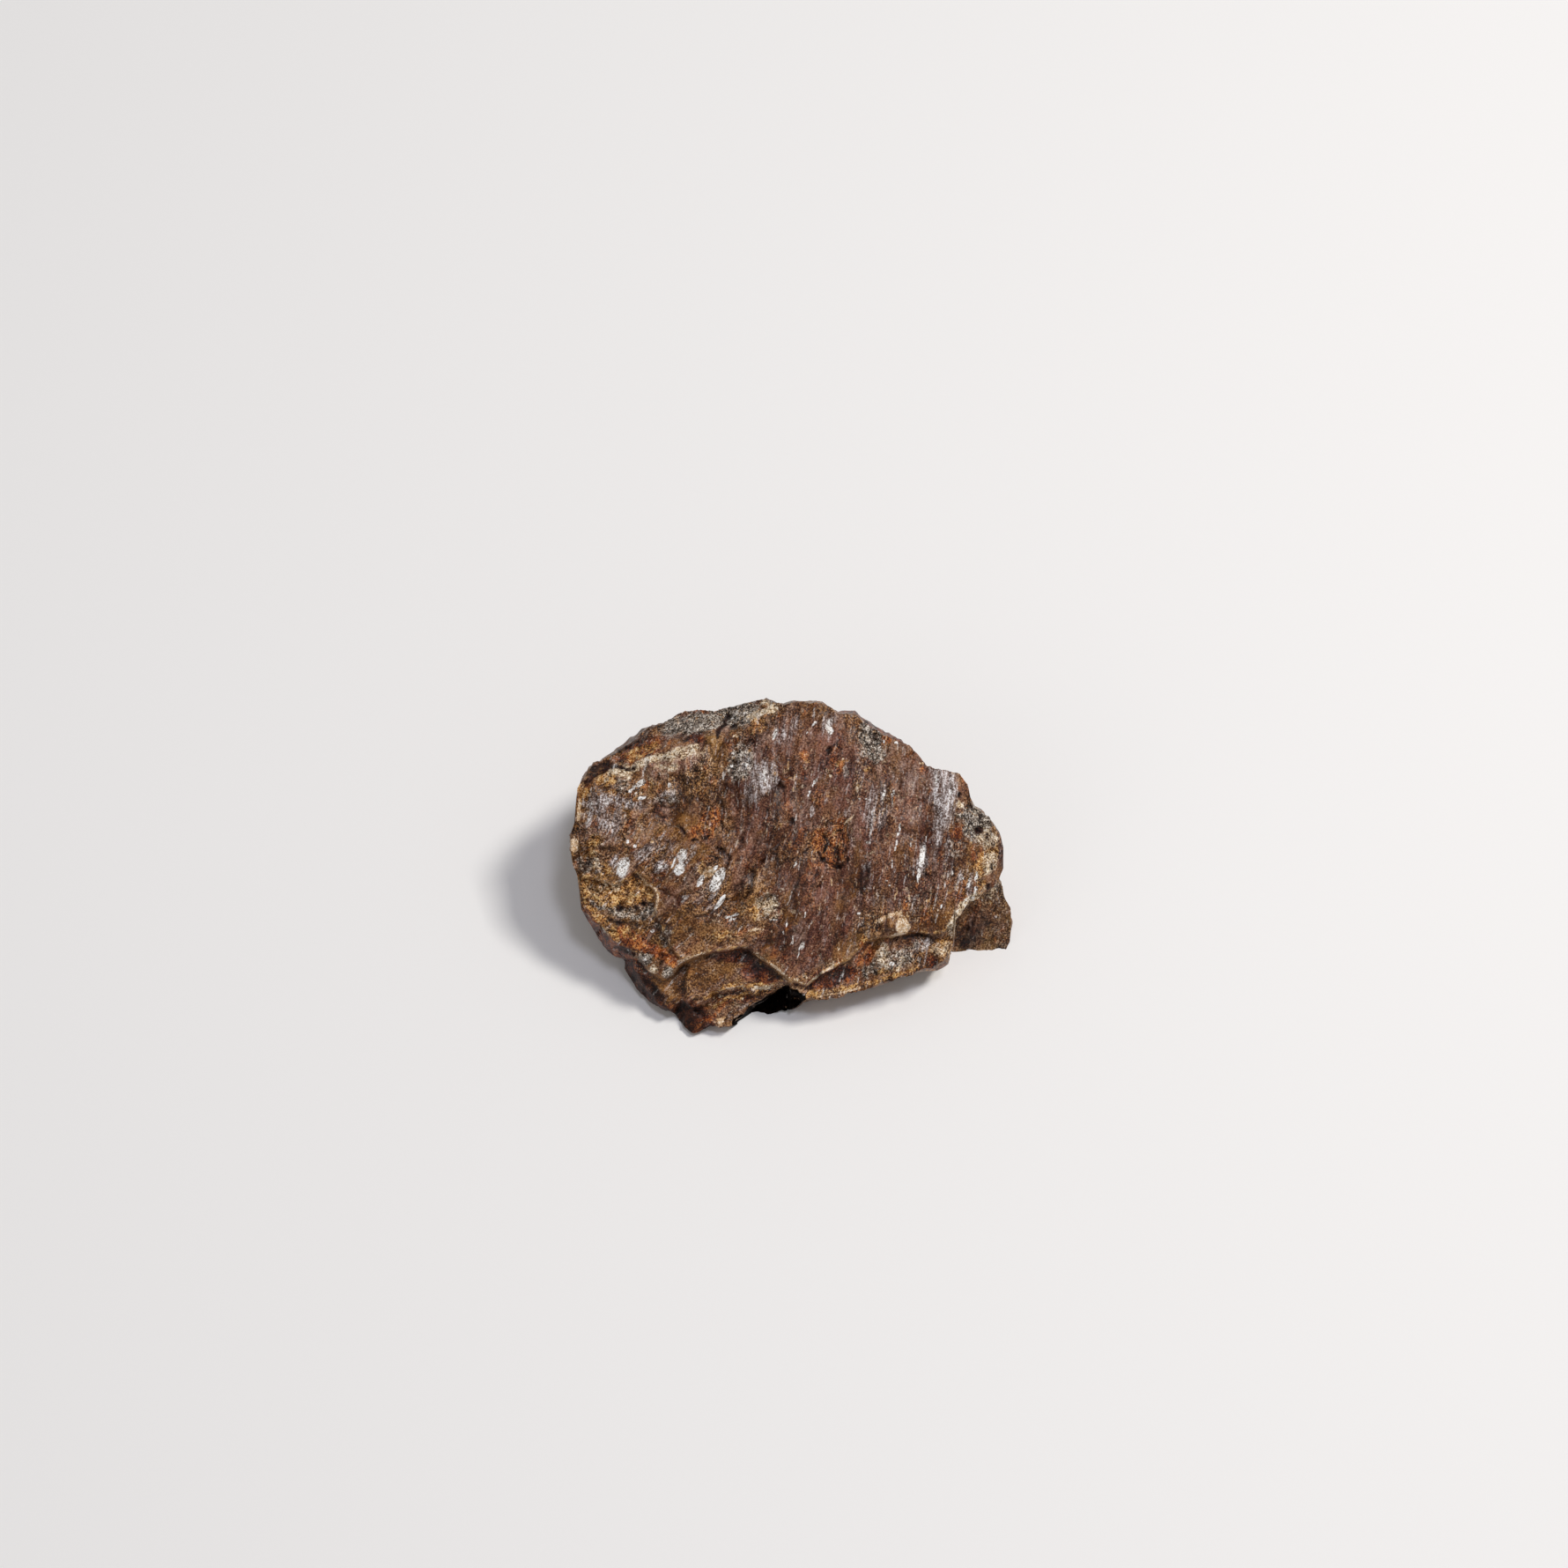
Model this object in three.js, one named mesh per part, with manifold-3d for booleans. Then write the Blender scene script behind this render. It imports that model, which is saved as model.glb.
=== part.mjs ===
// A hand specimen of massive tetrahedrite, one broken piece of vein rock 31 mm across.
// Its split face, a slickensided plate, is tilted back so that it looks forward and up. Below the
// plate lie broken ledges, along its upper left edge a granular bevel, and a lump of the dark wall
// rock sticks out on the right. The stone rests on a flat break underneath.
//
// Units are millimetres, +Z is up. Places on the split face are given as u (to the right),
// v (up the slope of the face) and w (straight out of the face), from the middle of the face.
// Both the plate and the lump are box grids, drawn out along rays from a point inside them, the
// heart, until they meet the body's surface.
import * as THREE from "three";
import { mergeVertices } from "three/addons/utils/BufferGeometryUtils.js";
import Module from "manifold-3d";

// ---- Driving dimensions ----
const FACE_ELEVATION = 62; // degrees above the horizon that the split face looks
const FACE_MIDDLE = new THREE.Vector3(-0.2, -1.4, 8.3); // u = v = w = 0, in the part's frame
const DEEPEST = -16; // no part of the stone lies farther behind the split face
const GROUND = { x: 90, y: 90, z: 20 }; // the block that flattens the underside
const END_INSET = 0.25; // from the outline's left and right ends to the grid's end columns
const EDGE_ROUNDING = 0.25; // where two of the stone's side breaks meet
const SNAP = 0.28; // a grid point this close to the lip or the foot of a break moves onto it
const STEP = 0.3; // first search along a ray for the surface
const HALVINGS = 14; // then the step is halved this many times

// Rough breaks: height of the bumps and how far apart they lie, on walls and on the split face.
const WALL_ROUGHNESS = [
  { height: 0.55, spacing: 3.4 },
  { height: 0.28, spacing: 1.5 },
];
const OUTLINE_ROUGHNESS = 0.35; // share of the walls' bumps that the outline shows
const RIM_DEPTH = 1.5; // below the rim, to where the walls have all of their bumps
const LUMP_ROUGHNESS = 0.6; // share of them that the lump has
const FACE_ROUGHNESS = [
  { height: 0.14, spacing: 2.6 },
  { height: 0.07, spacing: 1.3 },
];

// ---- The stone's outline, looking straight at the split face ----
const OUTLINE = [
  [-15.4, 1.1], [-15.3, 2.4], [-15.05, 3.3], [-15.0, 5.3], [-14.2, 6.5], [-13.9, 7.2],
  [-12.2, 7.9], [-11.0, 8.9], [-10.0, 9.7], [-9.0, 10.0], [-7.5, 10.9], [-6.4, 11.1],
  [-5.3, 10.75], [-4.6, 11.0], [-3.0, 11.55], [-1.7, 11.75], [-0.5, 11.3], [1.2, 11.5],
  [2.2, 11.45], [3.2, 10.8], [4.0, 10.5], [4.9, 10.1], [5.9, 9.6], [7.0, 9.0],
  [7.6, 8.7], [8.4, 8.4], [9.6, 7.1], [10.2, 6.8], [11.9, 6.4], [12.5, 5.7],
  [12.9, 4.2], [14.1, 3.3], [14.7, 2.3], [15.15, 0.4], [14.7, -1.1], [13.3, -2.2],
  [12.4, -2.9], [11.6, -3.8], [11.7, -5.0], [10.9, -6.7], [10.1, -7.2], [9.2, -7.3],
  [7.2, -8.1], [4.6, -8.9], [2.5, -9.35], [1.3, -9.45], [0, -10.2], [-2, -10.7],
  [-4.3, -11.3], [-5.6, -11.4], [-6.7, -11.85], [-7.6, -11.3], [-8.1, -10.7], [-9.2, -10.0],
  [-10.2, -9.5], [-10.9, -8.8], [-11.9, -7.2], [-12.5, -6.4], [-13.3, -5.8], [-14.1, -4.1],
  [-15.1, -2.4], [-15.1, -1.8], [-14.8, -1.0],
];

// ---- Breaks in the split face: inside each region the surface lies lower ----
// steep: fall per millimetre from the region's edge. drop: the most that it falls.
const BREAKS = {
  granularBevel: { // along the upper left edge
    steep: 1.25,
    drop: 3.2,
    region: [
      [-16.5, 5.2], [-14.9, 5.7], [-14.1, 6.15], [-13.0, 6.55], [-11.9, 6.7], [-11.1, 6.95],
      [-10.2, 7.45], [-9.3, 7.95], [-8.2, 8.35], [-7.0, 8.8], [-5.6, 9.1], [-4.6, 9.0],
      [-3.6, 9.25], [-2.8, 9.9], [-1.9, 10.6], [-1.0, 11.1], [-0.6, 13], [-8, 16], [-18, 12],
    ],
  },
  ochreCrust: { // lower left, a layer off the plate
    steep: 2.2,
    drop: 0.55,
    region: [
      [-17, -0.8], [-14.9, -0.7], [-13.6, -0.95], [-12.4, -1.2], [-11.4, -0.75],
      [-10.7, -0.35], [-10.2, -0.75], [-9.75, -1.3], [-9.35, -1.8], [-9.35, -2.6],
      [-9.45, -3.3], [-9.1, -4.0], [-8.8, -4.8], [-8.35, -5.6], [-7.7, -6.3], [-7, -7],
      [-8, -15], [-18, -13],
    ],
  },
  lowerLeftWall: { // the stone's dark side, leaning out below the crust
    steep: 2.5,
    drop: 4.2,
    region: [
      [-17, -2.5], [-14.7, -3.1], [-13.5, -4.1], [-12.5, -5.1], [-12.0, -5.5], [-11.2, -5.9],
      [-10.9, -6.6], [-11.0, -7.3], [-10.4, -8.4], [-9.5, -9.5], [-8.5, -10.3], [-8.0, -10.9],
      [-7.3, -11.7], [-6.9, -13], [-12, -15], [-18, -8],
    ],
  },
  lowerLedge: { // the smooth brown ledge below the plate
    steep: 3,
    drop: 1.15,
    region: [
      [-12.6, -6.6], [-10.6, -6.4], [-9.8, -7.3], [-8.9, -7.9], [-8.4, -7.6], [-7.9, -7.0],
      [-7.2, -6.55], [-6.4, -6.25], [-5.4, -5.95], [-4.3, -5.85], [-3.4, -5.65],
      [-2.8, -5.75], [-2.2, -6.25], [-1.5, -6.85], [-0.8, -7.3], [-0.1, -7.8], [0.2, -8.3],
      [0.2, -15], [-13, -15],
    ],
  },
  flakes: { // thin layers broken off the ledge's front
    steep: 1.6,
    drop: 0.8,
    region: [
      [-8.4, -9.8], [-7.4, -9.4], [-6.6, -9.9], [-6.2, -9.6], [-5.5, -9.0], [-4.6, -8.6],
      [-3.4, -8.5], [-2.6, -8.75], [-1.6, -8.4], [-0.6, -8.05], [0.3, -8.1], [0.3, -15],
      [-9, -15],
    ],
  },
  hollow: { // under the flakes, between the two halves of the front edge
    steep: 2.2,
    drop: 1.6,
    region: [
      [0.5, -8.9], [-0.1, -8.4], [-0.8, -8.65], [-1.6, -9.15], [-2.4, -9.7], [-3.2, -10.4],
      [-3.9, -10.9], [-4.4, -12], [3, -13], [1.7, -9.75], [1.1, -9.5],
    ],
  },
  rightLedge: {
    steep: 3,
    drop: 0.75,
    region: [
      [0.1, -8.0], [0.6, -8.2], [1.15, -8.35], [1.8, -7.9], [2.6, -7.4], [3.3, -7.0],
      [4.2, -6.5], [4.9, -5.8], [5.3, -5.3], [6.3, -5.0], [7.4, -4.85], [8.5, -4.6],
      [9.8, -4.75], [10.6, -4.9], [11.0, -4.3], [12, -3.9], [15, -6], [12, -13], [0, -13],
    ],
  },
  rightRim: { // the weathered edge on the right
    steep: 0.6,
    drop: 1.7,
    region: [
      [12.2, -3.4], [12.5, -2.2], [12.9, -1.2], [12.8, 0], [12.7, 1.0], [12.3, 2.0],
      [12.0, 3.2], [11.8, 4.6], [12.1, 7], [18, 7], [18, -4],
    ],
  },
};

// ---- Swells and dents of the split face: middle, reach across and along, and height ----
const SWELLS = [
  { u: -1.6, v: 5.8, across: 1.3, along: 2.2, height: 0.5 }, // the hump
  { u: -4.0, v: 4.6, across: 0.6, along: 2.5, height: -0.45 }, // the groove beside it
  { u: -12.8, v: 3.6, across: 2.2, along: 2.2, height: 0.4 },
  { u: -8.8, v: 3.6, across: 1.9, along: 1.3, height: -0.6 },
  { u: -6.3, v: -0.9, across: 2.6, along: 1.7, height: 0.3 },
  { u: 6.6, v: 1.5, across: 3.6, along: 5.0, height: 0.3 },
  { u: 2.9, v: 1.6, across: 1.2, along: 1.4, height: -0.4 }, // the rusty pit
  { u: -1.4, v: -3.0, across: 1.0, along: 1.0, height: -0.3 },
  { u: 9.9, v: 2.6, across: 0.7, along: 4.0, height: -0.3 },
  { u: 11.1, v: 5.0, across: 0.8, along: 2.0, height: 0.3 },
  { u: 5.7, v: 8.8, across: 0.9, along: 1.3, height: -0.35 },
  { u: 7.4, v: -4.1, across: 0.9, along: 0.6, height: 0.35 }, // the small block
  { u: -6.0, v: -8.1, across: 2.0, along: 1.0, height: -0.25 },
];
const CROWN = { u: -1, v: 3, height: 0.35, fallAcross: 0.0045, fallAlong: 0.004 };

// ---- Large breaks around and under the stone: a point on each, and the way it faces (x, y, z) ----
const SIDES = [
  { name: "back", through: [0, 10.1, 11], facing: [0.05, 0.97, -0.24] },
  { name: "back left", through: [-11.4, 8.7, 9], facing: [-0.62, 0.74, -0.26] },
  { name: "back right", through: [11.8, 5.9, 9.5], facing: [0.66, 0.7, -0.26] },
  { name: "left", through: [-15.6, 1, 7.4], facing: [-0.9, 0.12, -0.42] },
  { name: "left underside", through: [-9.9, 0, 0], facing: [-0.56, 0.05, -0.83] },
  { name: "back underside", through: [0, 7.2, 0], facing: [-0.12, 0.72, -0.68] },
  { name: "back left underside", through: [-6.5, 5.2, 0], facing: [-0.55, 0.5, -0.67] },
  { name: "front left underside", through: [-8.2, -9.5, 0], facing: [-0.5, -0.45, -0.74] },
  { name: "front underside", through: [9.5, -5.2, 0], facing: [0.28, -0.8, -0.53] },
  { name: "right", through: [15.0, 0, 6.6], facing: [0.86, 0.12, -0.5] },
  { name: "right underside", through: [12.6, 1, 0], facing: [0.72, 0.22, -0.66] },
];

// ---- The lump of wall rock on the right, in the same terms ----
const LUMP_OUTLINE = [
  [9, -6.4], [11.6, -6.3], [13, -6.35], [14.5, -6.4], [15.2, -6.2], [15.5, -5.4],
  [15.65, -4.1], [15.5, -3.2], [15.1, -2.4], [15.0, -1.6], [14.6, -0.9], [13.4, 1.5], [9, 2],
];
const LUMP_SIDES = [
  { name: "front", through: [13.5, -2.2, 2.6], facing: [0.05, -0.8, 0.6] },
  { name: "front underside", through: [13.5, -4.3, 0], facing: [0.1, -0.86, -0.5] },
  { name: "top", through: [13, -0.6, 4.6], facing: [0.16, -0.25, 0.95] },
  { name: "back", through: [13, 3.4, 3], facing: [0.4, 0.9, 0.1] },
];

// ---- Frames ----
const elevation = THREE.MathUtils.degToRad(FACE_ELEVATION);
const faceToPart = new THREE.Matrix4()
  .makeBasis(
    new THREE.Vector3(1, 0, 0),
    new THREE.Vector3(0, Math.sin(elevation), Math.cos(elevation)),
    new THREE.Vector3(0, -Math.cos(elevation), Math.sin(elevation)),
  )
  .setPosition(FACE_MIDDLE);
const partToFace = faceToPart.clone().invert();

// ---- Smooth random bumps, from values fixed at the points of a lattice ----
function latticeValue(i, j, k) {
  const s = Math.sin(i * 127.1 + j * 311.7 + k * 74.7) * 43758.5453;
  return 2 * (s - Math.floor(s)) - 1;
}

function bumps(x, y, z) {
  const [i, j, k] = [x, y, z].map(Math.floor);
  const [a, b, c] = [x - i, y - j, z - k].map((t) => t * t * (3 - 2 * t));
  const mix = THREE.MathUtils.lerp;
  const alongX = (dj, dk) =>
    mix(latticeValue(i, j + dj, k + dk), latticeValue(i + 1, j + dj, k + dk), a);
  return mix(mix(alongX(0, 0), alongX(1, 0), b), mix(alongX(0, 1), alongX(1, 1), b), c);
}

const roughness = (layers, u, v, w) =>
  layers.reduce(
    (sum, { height, spacing }) =>
      sum + height * bumps(u / spacing, v / spacing, w / spacing),
    0,
  );

// ---- From a closed outline to a point on the face ----
// distance is positive outside and negative inside, and away is the way in which it grows.
function offsetFrom(outline, u, v) {
  let nearest = Infinity;
  let step = [0, 0];
  let inside = false;
  for (let n = 0, m = outline.length - 1; n < outline.length; m = n++) {
    const [u0, v0] = outline[m];
    const [u1, v1] = outline[n];
    const [du, dv] = [u1 - u0, v1 - v0];
    const t = ((u - u0) * du + (v - v0) * dv) / (du * du + dv * dv);
    const share = THREE.MathUtils.clamp(t, 0, 1);
    const fromEdge = [u - u0 - share * du, v - v0 - share * dv];
    if (Math.hypot(...fromEdge) < nearest) {
      nearest = Math.hypot(...fromEdge);
      step = fromEdge;
    }
    if (v0 > v !== v1 > v && u < u0 + ((v - v0) * du) / dv) inside = !inside;
  }
  const distance = inside ? -nearest : nearest;
  return { distance, away: step.map((s) => s / distance) };
}

const distanceTo = (outline, u, v) => offsetFrom(outline, u, v).distance;

// ---- Height of the split face at u, v ----
function faceHeight(u, v) {
  let w = CROWN.height - CROWN.fallAcross * (u - CROWN.u) ** 2 - CROWN.fallAlong * (v - CROWN.v) ** 2;
  for (const s of SWELLS)
    w += s.height * Math.exp(-(((u - s.u) / s.across) ** 2) - ((v - s.v) / s.along) ** 2);
  for (const { steep, drop, region } of Object.values(BREAKS))
    w -= THREE.MathUtils.clamp(-distanceTo(region, u, v) * steep, 0, drop);
  return w + roughness(FACE_ROUGHNESS, u, v, 0);
}

// A point on the face, moved onto the lip or the foot of a break that it lies close to.
function snapped(u, v) {
  for (const { steep, drop, region } of Object.values(BREAKS)) {
    const { distance, away } = offsetFrom(region, u, v);
    for (const line of [0, -drop / steep]) {
      const off = distance - line;
      if (Math.abs(off) < SNAP && distance !== 0) return [u - off * away[0], v - off * away[1]];
    }
  }
  return [u, v];
}

// ---- How far a point lies outside each body: below zero within it ----
const planesOf = (sides) =>
  sides.map(({ through, facing }) =>
    new THREE.Plane()
      .setFromNormalAndCoplanarPoint(
        new THREE.Vector3(...facing).normalize(),
        new THREE.Vector3(...through),
      )
      .applyMatrix4(partToFace),
  );
const sidePlanes = planesOf(SIDES);
const lumpPlanes = planesOf(LUMP_SIDES);
const beyond = (planes, point) => planes.map((p) => p.distanceToPoint(point));

// The largest of the distances, with the edge where two of them meet rounded.
const rounded = (distances) =>
  EDGE_ROUNDING *
  Math.log(distances.reduce((sum, d) => sum + Math.exp(d / EDGE_ROUNDING), 0));

const outsideOutline = (u, v, w) =>
  distanceTo(OUTLINE, u, v) + OUTLINE_ROUGHNESS * roughness(WALL_ROUGHNESS, u, v, w);

function outsidePlate(point) {
  const { x: u, y: v, z: w } = point;
  const walls = [outsideOutline(u, v, w), ...beyond(sidePlanes, point), DEEPEST - w];
  return Math.max(rounded(walls), w - faceHeight(u, v));
}

// The height at u, v under all the planes that face forward.
const topOf = (planes, u, v) =>
  Math.min(
    ...planes
      .filter(({ normal }) => normal.z > 0)
      .map(({ normal, constant }) => -(constant + normal.x * u + normal.y * v) / normal.z),
  );

function outsideLump(point) {
  const { x: u, y: v, z: w } = point;
  return Math.max(distanceTo(LUMP_OUTLINE, u, v), ...beyond(lumpPlanes, point), DEEPEST - w);
}

// ---- A box's grid, pulled out from the body's heart to its surface ----
function surfaceAlong(start, direction, outsideBy) {
  const at = (reach) => start.clone().addScaledVector(direction, reach);
  let far = STEP;
  while (outsideBy(at(far)) < 0) far += STEP;
  let near = far - STEP;
  for (let n = 0; n < HALVINGS; n++) {
    const middle = (near + far) / 2;
    if (outsideBy(at(middle)) < 0) near = middle;
    else far = middle;
  }
  return at(near);
}

// Each square of a box's grid, which is two triangles on end, is folded along its shorter
// diagonal, so that the folds follow the lips of the breaks.
function foldedShort(grid) {
  const places = grid.getAttribute("position");
  const corners = grid.index.array;
  const at = (n) => new THREE.Vector3().fromBufferAttribute(places, n);
  for (let n = 0; n < corners.length; n += 6) {
    const [a, b, d, , c] = corners.slice(n, n + 5);
    if (at(a).distanceTo(at(c)) < at(b).distanceTo(at(d))) corners.set([a, b, c, a, c, d], n);
  }
  return grid;
}

// The columns of the box's grid run from the outline's lower edge to its upper one, and its top
// lies on the body's face, so that a row of the grid follows the rim. The bumps of the walls are
// pressed in towards the heart.
function pulledOut({
  size, segments, heart, waist, outlineBy, heightAt, outsideBy, bumpsAt, placedAt,
}) {
  const edge = (u, toU, toV) =>
    surfaceAlong(new THREE.Vector3(u, waist, 0), new THREE.Vector3(toU, toV, 0), ({ x, y }) =>
      outlineBy(x, y, heightAt(x, y)),
    );
  const left = edge(heart.x, -1, 0).x + END_INSET;
  const right = edge(heart.x, 1, 0).x - END_INSET;
  const columns = new Map();
  const columnAt = (u) => {
    if (!columns.has(u)) columns.set(u, [edge(u, 0, -1).y, edge(u, 0, 1).y]);
    return columns.get(u);
  };
  const mix = THREE.MathUtils.lerp;

  const box = new THREE.BoxGeometry(size.u, size.v, size.w, segments.u, segments.v, segments.w);
  box.deleteAttribute("normal");
  box.deleteAttribute("uv");
  const grid = mergeVertices(box, 1e-4);
  const places = grid.getAttribute("position");
  for (let n = 0; n < places.count; n++) {
    const across = places.getX(n) / size.u;
    const along = places.getY(n) / size.v;
    const high = places.getZ(n) / size.w;
    const column = mix(left, right, across + 0.5);
    const row = mix(...columnAt(column), along + 0.5);
    const onFace = high === 0.5 && Math.abs(across) < 0.5 && Math.abs(along) < 0.5;
    const [u, v] = onFace ? placedAt(column, row) : [column, row];
    const w = mix(heart.z - size.w / 2, heightAt(u, v), high + 0.5);
    const direction = new THREE.Vector3(u, v, w).sub(heart).normalize();
    const surface = surfaceAlong(heart, direction, outsideBy);
    places.setXYZ(n, ...surface.addScaledVector(direction, -bumpsAt(surface)));
  }
  return foldedShort(grid).applyMatrix4(faceToPart);
}

// ---- The two bodies ----
const PLATE = {
  size: { u: 31, v: 23.5, w: 11 },
  segments: { u: 50, v: 38, w: 11 },
  heart: new THREE.Vector3(0, -0.3, -6),
  waist: 1, // v of the row where the outline is widest
  outlineBy: outsideOutline,
  heightAt: faceHeight,
  outsideBy: outsidePlate,
  bumpsAt: ({ x: u, y: v, z: w }) =>
    THREE.MathUtils.clamp((faceHeight(u, v) - w) / RIM_DEPTH, 0, 1) *
    roughness(WALL_ROUGHNESS, u, v, w),
  placedAt: snapped,
};

const LUMP = {
  size: { u: 6, v: 7, w: 5 },
  segments: { u: 9, v: 11, w: 8 },
  heart: new THREE.Vector3(12.6, -3, -6.6),
  waist: -3.6,
  outlineBy: (u, v) => distanceTo(LUMP_OUTLINE, u, v),
  heightAt: (u, v) => topOf(lumpPlanes, u, v),
  outsideBy: outsideLump,
  bumpsAt: ({ x: u, y: v, z: w }) => LUMP_ROUGHNESS * roughness(WALL_ROUGHNESS, u, v, w),
  placedAt: (u, v) => [u, v],
};

// ---- Joining them, and flattening the underside ----
const wasm = await Module();
wasm.setup();

function solidOf(geometry) {
  const g = geometry.clone();
  g.deleteAttribute("normal");
  g.deleteAttribute("uv");
  const merged = mergeVertices(g, 1e-4);
  return new wasm.Manifold(
    new wasm.Mesh({
      numProp: 3,
      vertProperties: merged.getAttribute("position").array,
      triVerts: new Uint32Array(merged.index.array),
    }),
  );
}

function geometryOf(solid) {
  const { vertProperties, triVerts } = solid.getMesh();
  const geometry = new THREE.BufferGeometry();
  geometry.setAttribute("position", new THREE.BufferAttribute(vertProperties, 3));
  geometry.setIndex(new THREE.BufferAttribute(triVerts, 1));
  geometry.computeVertexNormals();
  return geometry;
}

function stoneGeometry() {
  const plate = pulledOut(PLATE);
  const lump = pulledOut(LUMP);
  const ground = new THREE.BoxGeometry(GROUND.x, GROUND.y, GROUND.z);
  ground.translate(0, 0, -GROUND.z / 2);
  return geometryOf(solidOf(plate).add(solidOf(lump)).subtract(solidOf(ground)));
}

// ---- The specimen ----
const vein = new THREE.MeshStandardMaterial({ color: 0x6f5140, roughness: 0.45, metalness: 0 });
const stone = new THREE.Mesh(stoneGeometry(), vein);
stone.name = "tetrahedrite_stone";

const specimen = new THREE.Group();
specimen.add(stone);
export default specimen;
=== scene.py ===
"""A hand specimen of massive tetrahedrite in vein rock, dressed on its CAD solid.

The stone is one mesh of two closed bodies, the plate and the lump, in place of the CAD node.
Places on its split face are in millimetres: u to the right, v up the slope of the face, w straight
out of it, all from the middle of the face.
"""

import logging
import math
from dataclasses import dataclass, field, replace
from enum import Enum
from functools import partial
from typing import Callable, Sequence

import bmesh
import bpy
import numpy as np
from mathutils import Matrix, Vector


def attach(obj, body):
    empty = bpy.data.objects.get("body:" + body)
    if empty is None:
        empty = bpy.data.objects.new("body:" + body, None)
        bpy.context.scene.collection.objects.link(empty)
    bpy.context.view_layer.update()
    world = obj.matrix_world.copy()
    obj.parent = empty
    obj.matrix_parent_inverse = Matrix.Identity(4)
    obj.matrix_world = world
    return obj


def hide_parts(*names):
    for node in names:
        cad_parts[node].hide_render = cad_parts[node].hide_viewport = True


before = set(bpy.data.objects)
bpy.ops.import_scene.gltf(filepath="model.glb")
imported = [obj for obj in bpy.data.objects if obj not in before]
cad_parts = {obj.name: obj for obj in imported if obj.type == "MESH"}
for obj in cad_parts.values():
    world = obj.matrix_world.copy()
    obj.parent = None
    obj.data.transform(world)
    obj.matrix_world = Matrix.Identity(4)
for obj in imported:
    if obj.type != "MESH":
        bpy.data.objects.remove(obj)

LOG = logging.getLogger("tetrahedrite")
MM = 0.001
STONE_NODE = "tetrahedrite_stone"
STONE_PIECE = "tetrahedrite_stone_skin"

Array = np.ndarray
Point = tuple[float, float]
Points = Sequence[Point]
Span = tuple[float, float]  # where a smooth step starts, and where it ends


# ---------------------------------------------------------------------------------------------
# Numbers at every point: smooth steps, bumps, grains and distances
# ---------------------------------------------------------------------------------------------

HASH_STEPS = (127.1, 311.7, 74.7)  # these two turn the corners of a lattice into random numbers
HASH_STRETCH = 43758.5453
OCTAVE_TURN = 0.9  # radians from each size of bump to the next
OCTAVE_SHIFT = 17.3
OCTAVE_NARROWING = 2.03
GRAIN_SCATTER = 0.45  # how far a grain's middle strays from its square's, in grain widths
FAR = 99.0  # millimetres, farther than any point of the stone


def smooth(low: float, high: float, value: Array) -> Array:
    """A smooth step.

    Args:
        low: where the step starts, with 0.
        high: where it ends, with 1.
        value: the numbers to step.

    Returns:
        The stepped numbers, from 0 to 1.
    """
    t = np.clip((value - low) / (high - low), 0, 1)
    return t * t * (3 - 2 * t)


def lattice_value(i: Array, j: Array, k: Array) -> Array:
    """A fixed random number from -1 to 1 at each point of a lattice.

    Args:
        i: whole numbers along the first axis.
        j: whole numbers along the second axis.
        k: numbers along the third axis.

    Returns:
        The random numbers.
    """
    a, b, c = HASH_STEPS
    s = np.sin(i * a + j * b + k * c) * HASH_STRETCH
    return 2 * (s - np.floor(s)) - 1


def bumps(x: Array, y: Array, z: Array) -> Array:
    """Smooth random bumps, one or so to a unit.

    Args:
        x: first coordinates, in bump spacings.
        y: second coordinates.
        z: third coordinates.

    Returns:
        Heights from -1 to 1.
    """
    x, y, z = np.broadcast_arrays(x, y, z)
    i, j, k = np.floor(x), np.floor(y), np.floor(z)
    a, b, c = (t * t * (3 - 2 * t) for t in (x - i, y - j, z - k))
    total = np.zeros(x.shape)
    for di in (0, 1):
        for dj in (0, 1):
            for dk in (0, 1):
                share = (a if di else 1 - a) * (b if dj else 1 - b) * (c if dk else 1 - c)
                total += share * lattice_value(i + di, j + dj, k + dk)
    return total


@dataclass(frozen=True)
class Bumps:
    """Bumps upon bumps, each octave half as wide and turned against the last."""

    height: float
    across: float  # spacing of the widest bumps in millimetres, across and along
    along: float
    seed: float = 0.0
    octaves: int = 3
    keep: float = 0.5  # height of each octave as a share of the one before
    ridged: bool = False  # whether the bumps meet in sharp crests

    def over(self, x: Array, y: Array, z: Array | float = 0.0) -> Array:
        """Height of the bumps.

        Args:
            x: coordinates of the places across, in millimetres.
            y: coordinates along.
            z: coordinates out of the face, where the bumps go right through the stone.

        Returns:
            The height, in the measure that self.height has.
        """
        turn_cos, turn_sin = math.cos(OCTAVE_TURN), math.sin(OCTAVE_TURN)
        x, y, z = x / self.across, y / self.along, np.asarray(z) / self.across + self.seed
        total, height, reach = np.zeros(np.broadcast(x, y).shape), 1.0, 0.0
        for octave in range(self.octaves):
            layer = bumps(x, y, z + OCTAVE_SHIFT * octave)
            total += height * (1 - 2 * np.abs(layer) if self.ridged else layer)
            reach += height
            height *= self.keep
            x, y = turn_cos * x - turn_sin * y, turn_sin * x + turn_cos * y
            x, y, z = OCTAVE_NARROWING * x, OCTAVE_NARROWING * y, OCTAVE_NARROWING * z
        return self.height * (total / reach)


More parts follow.
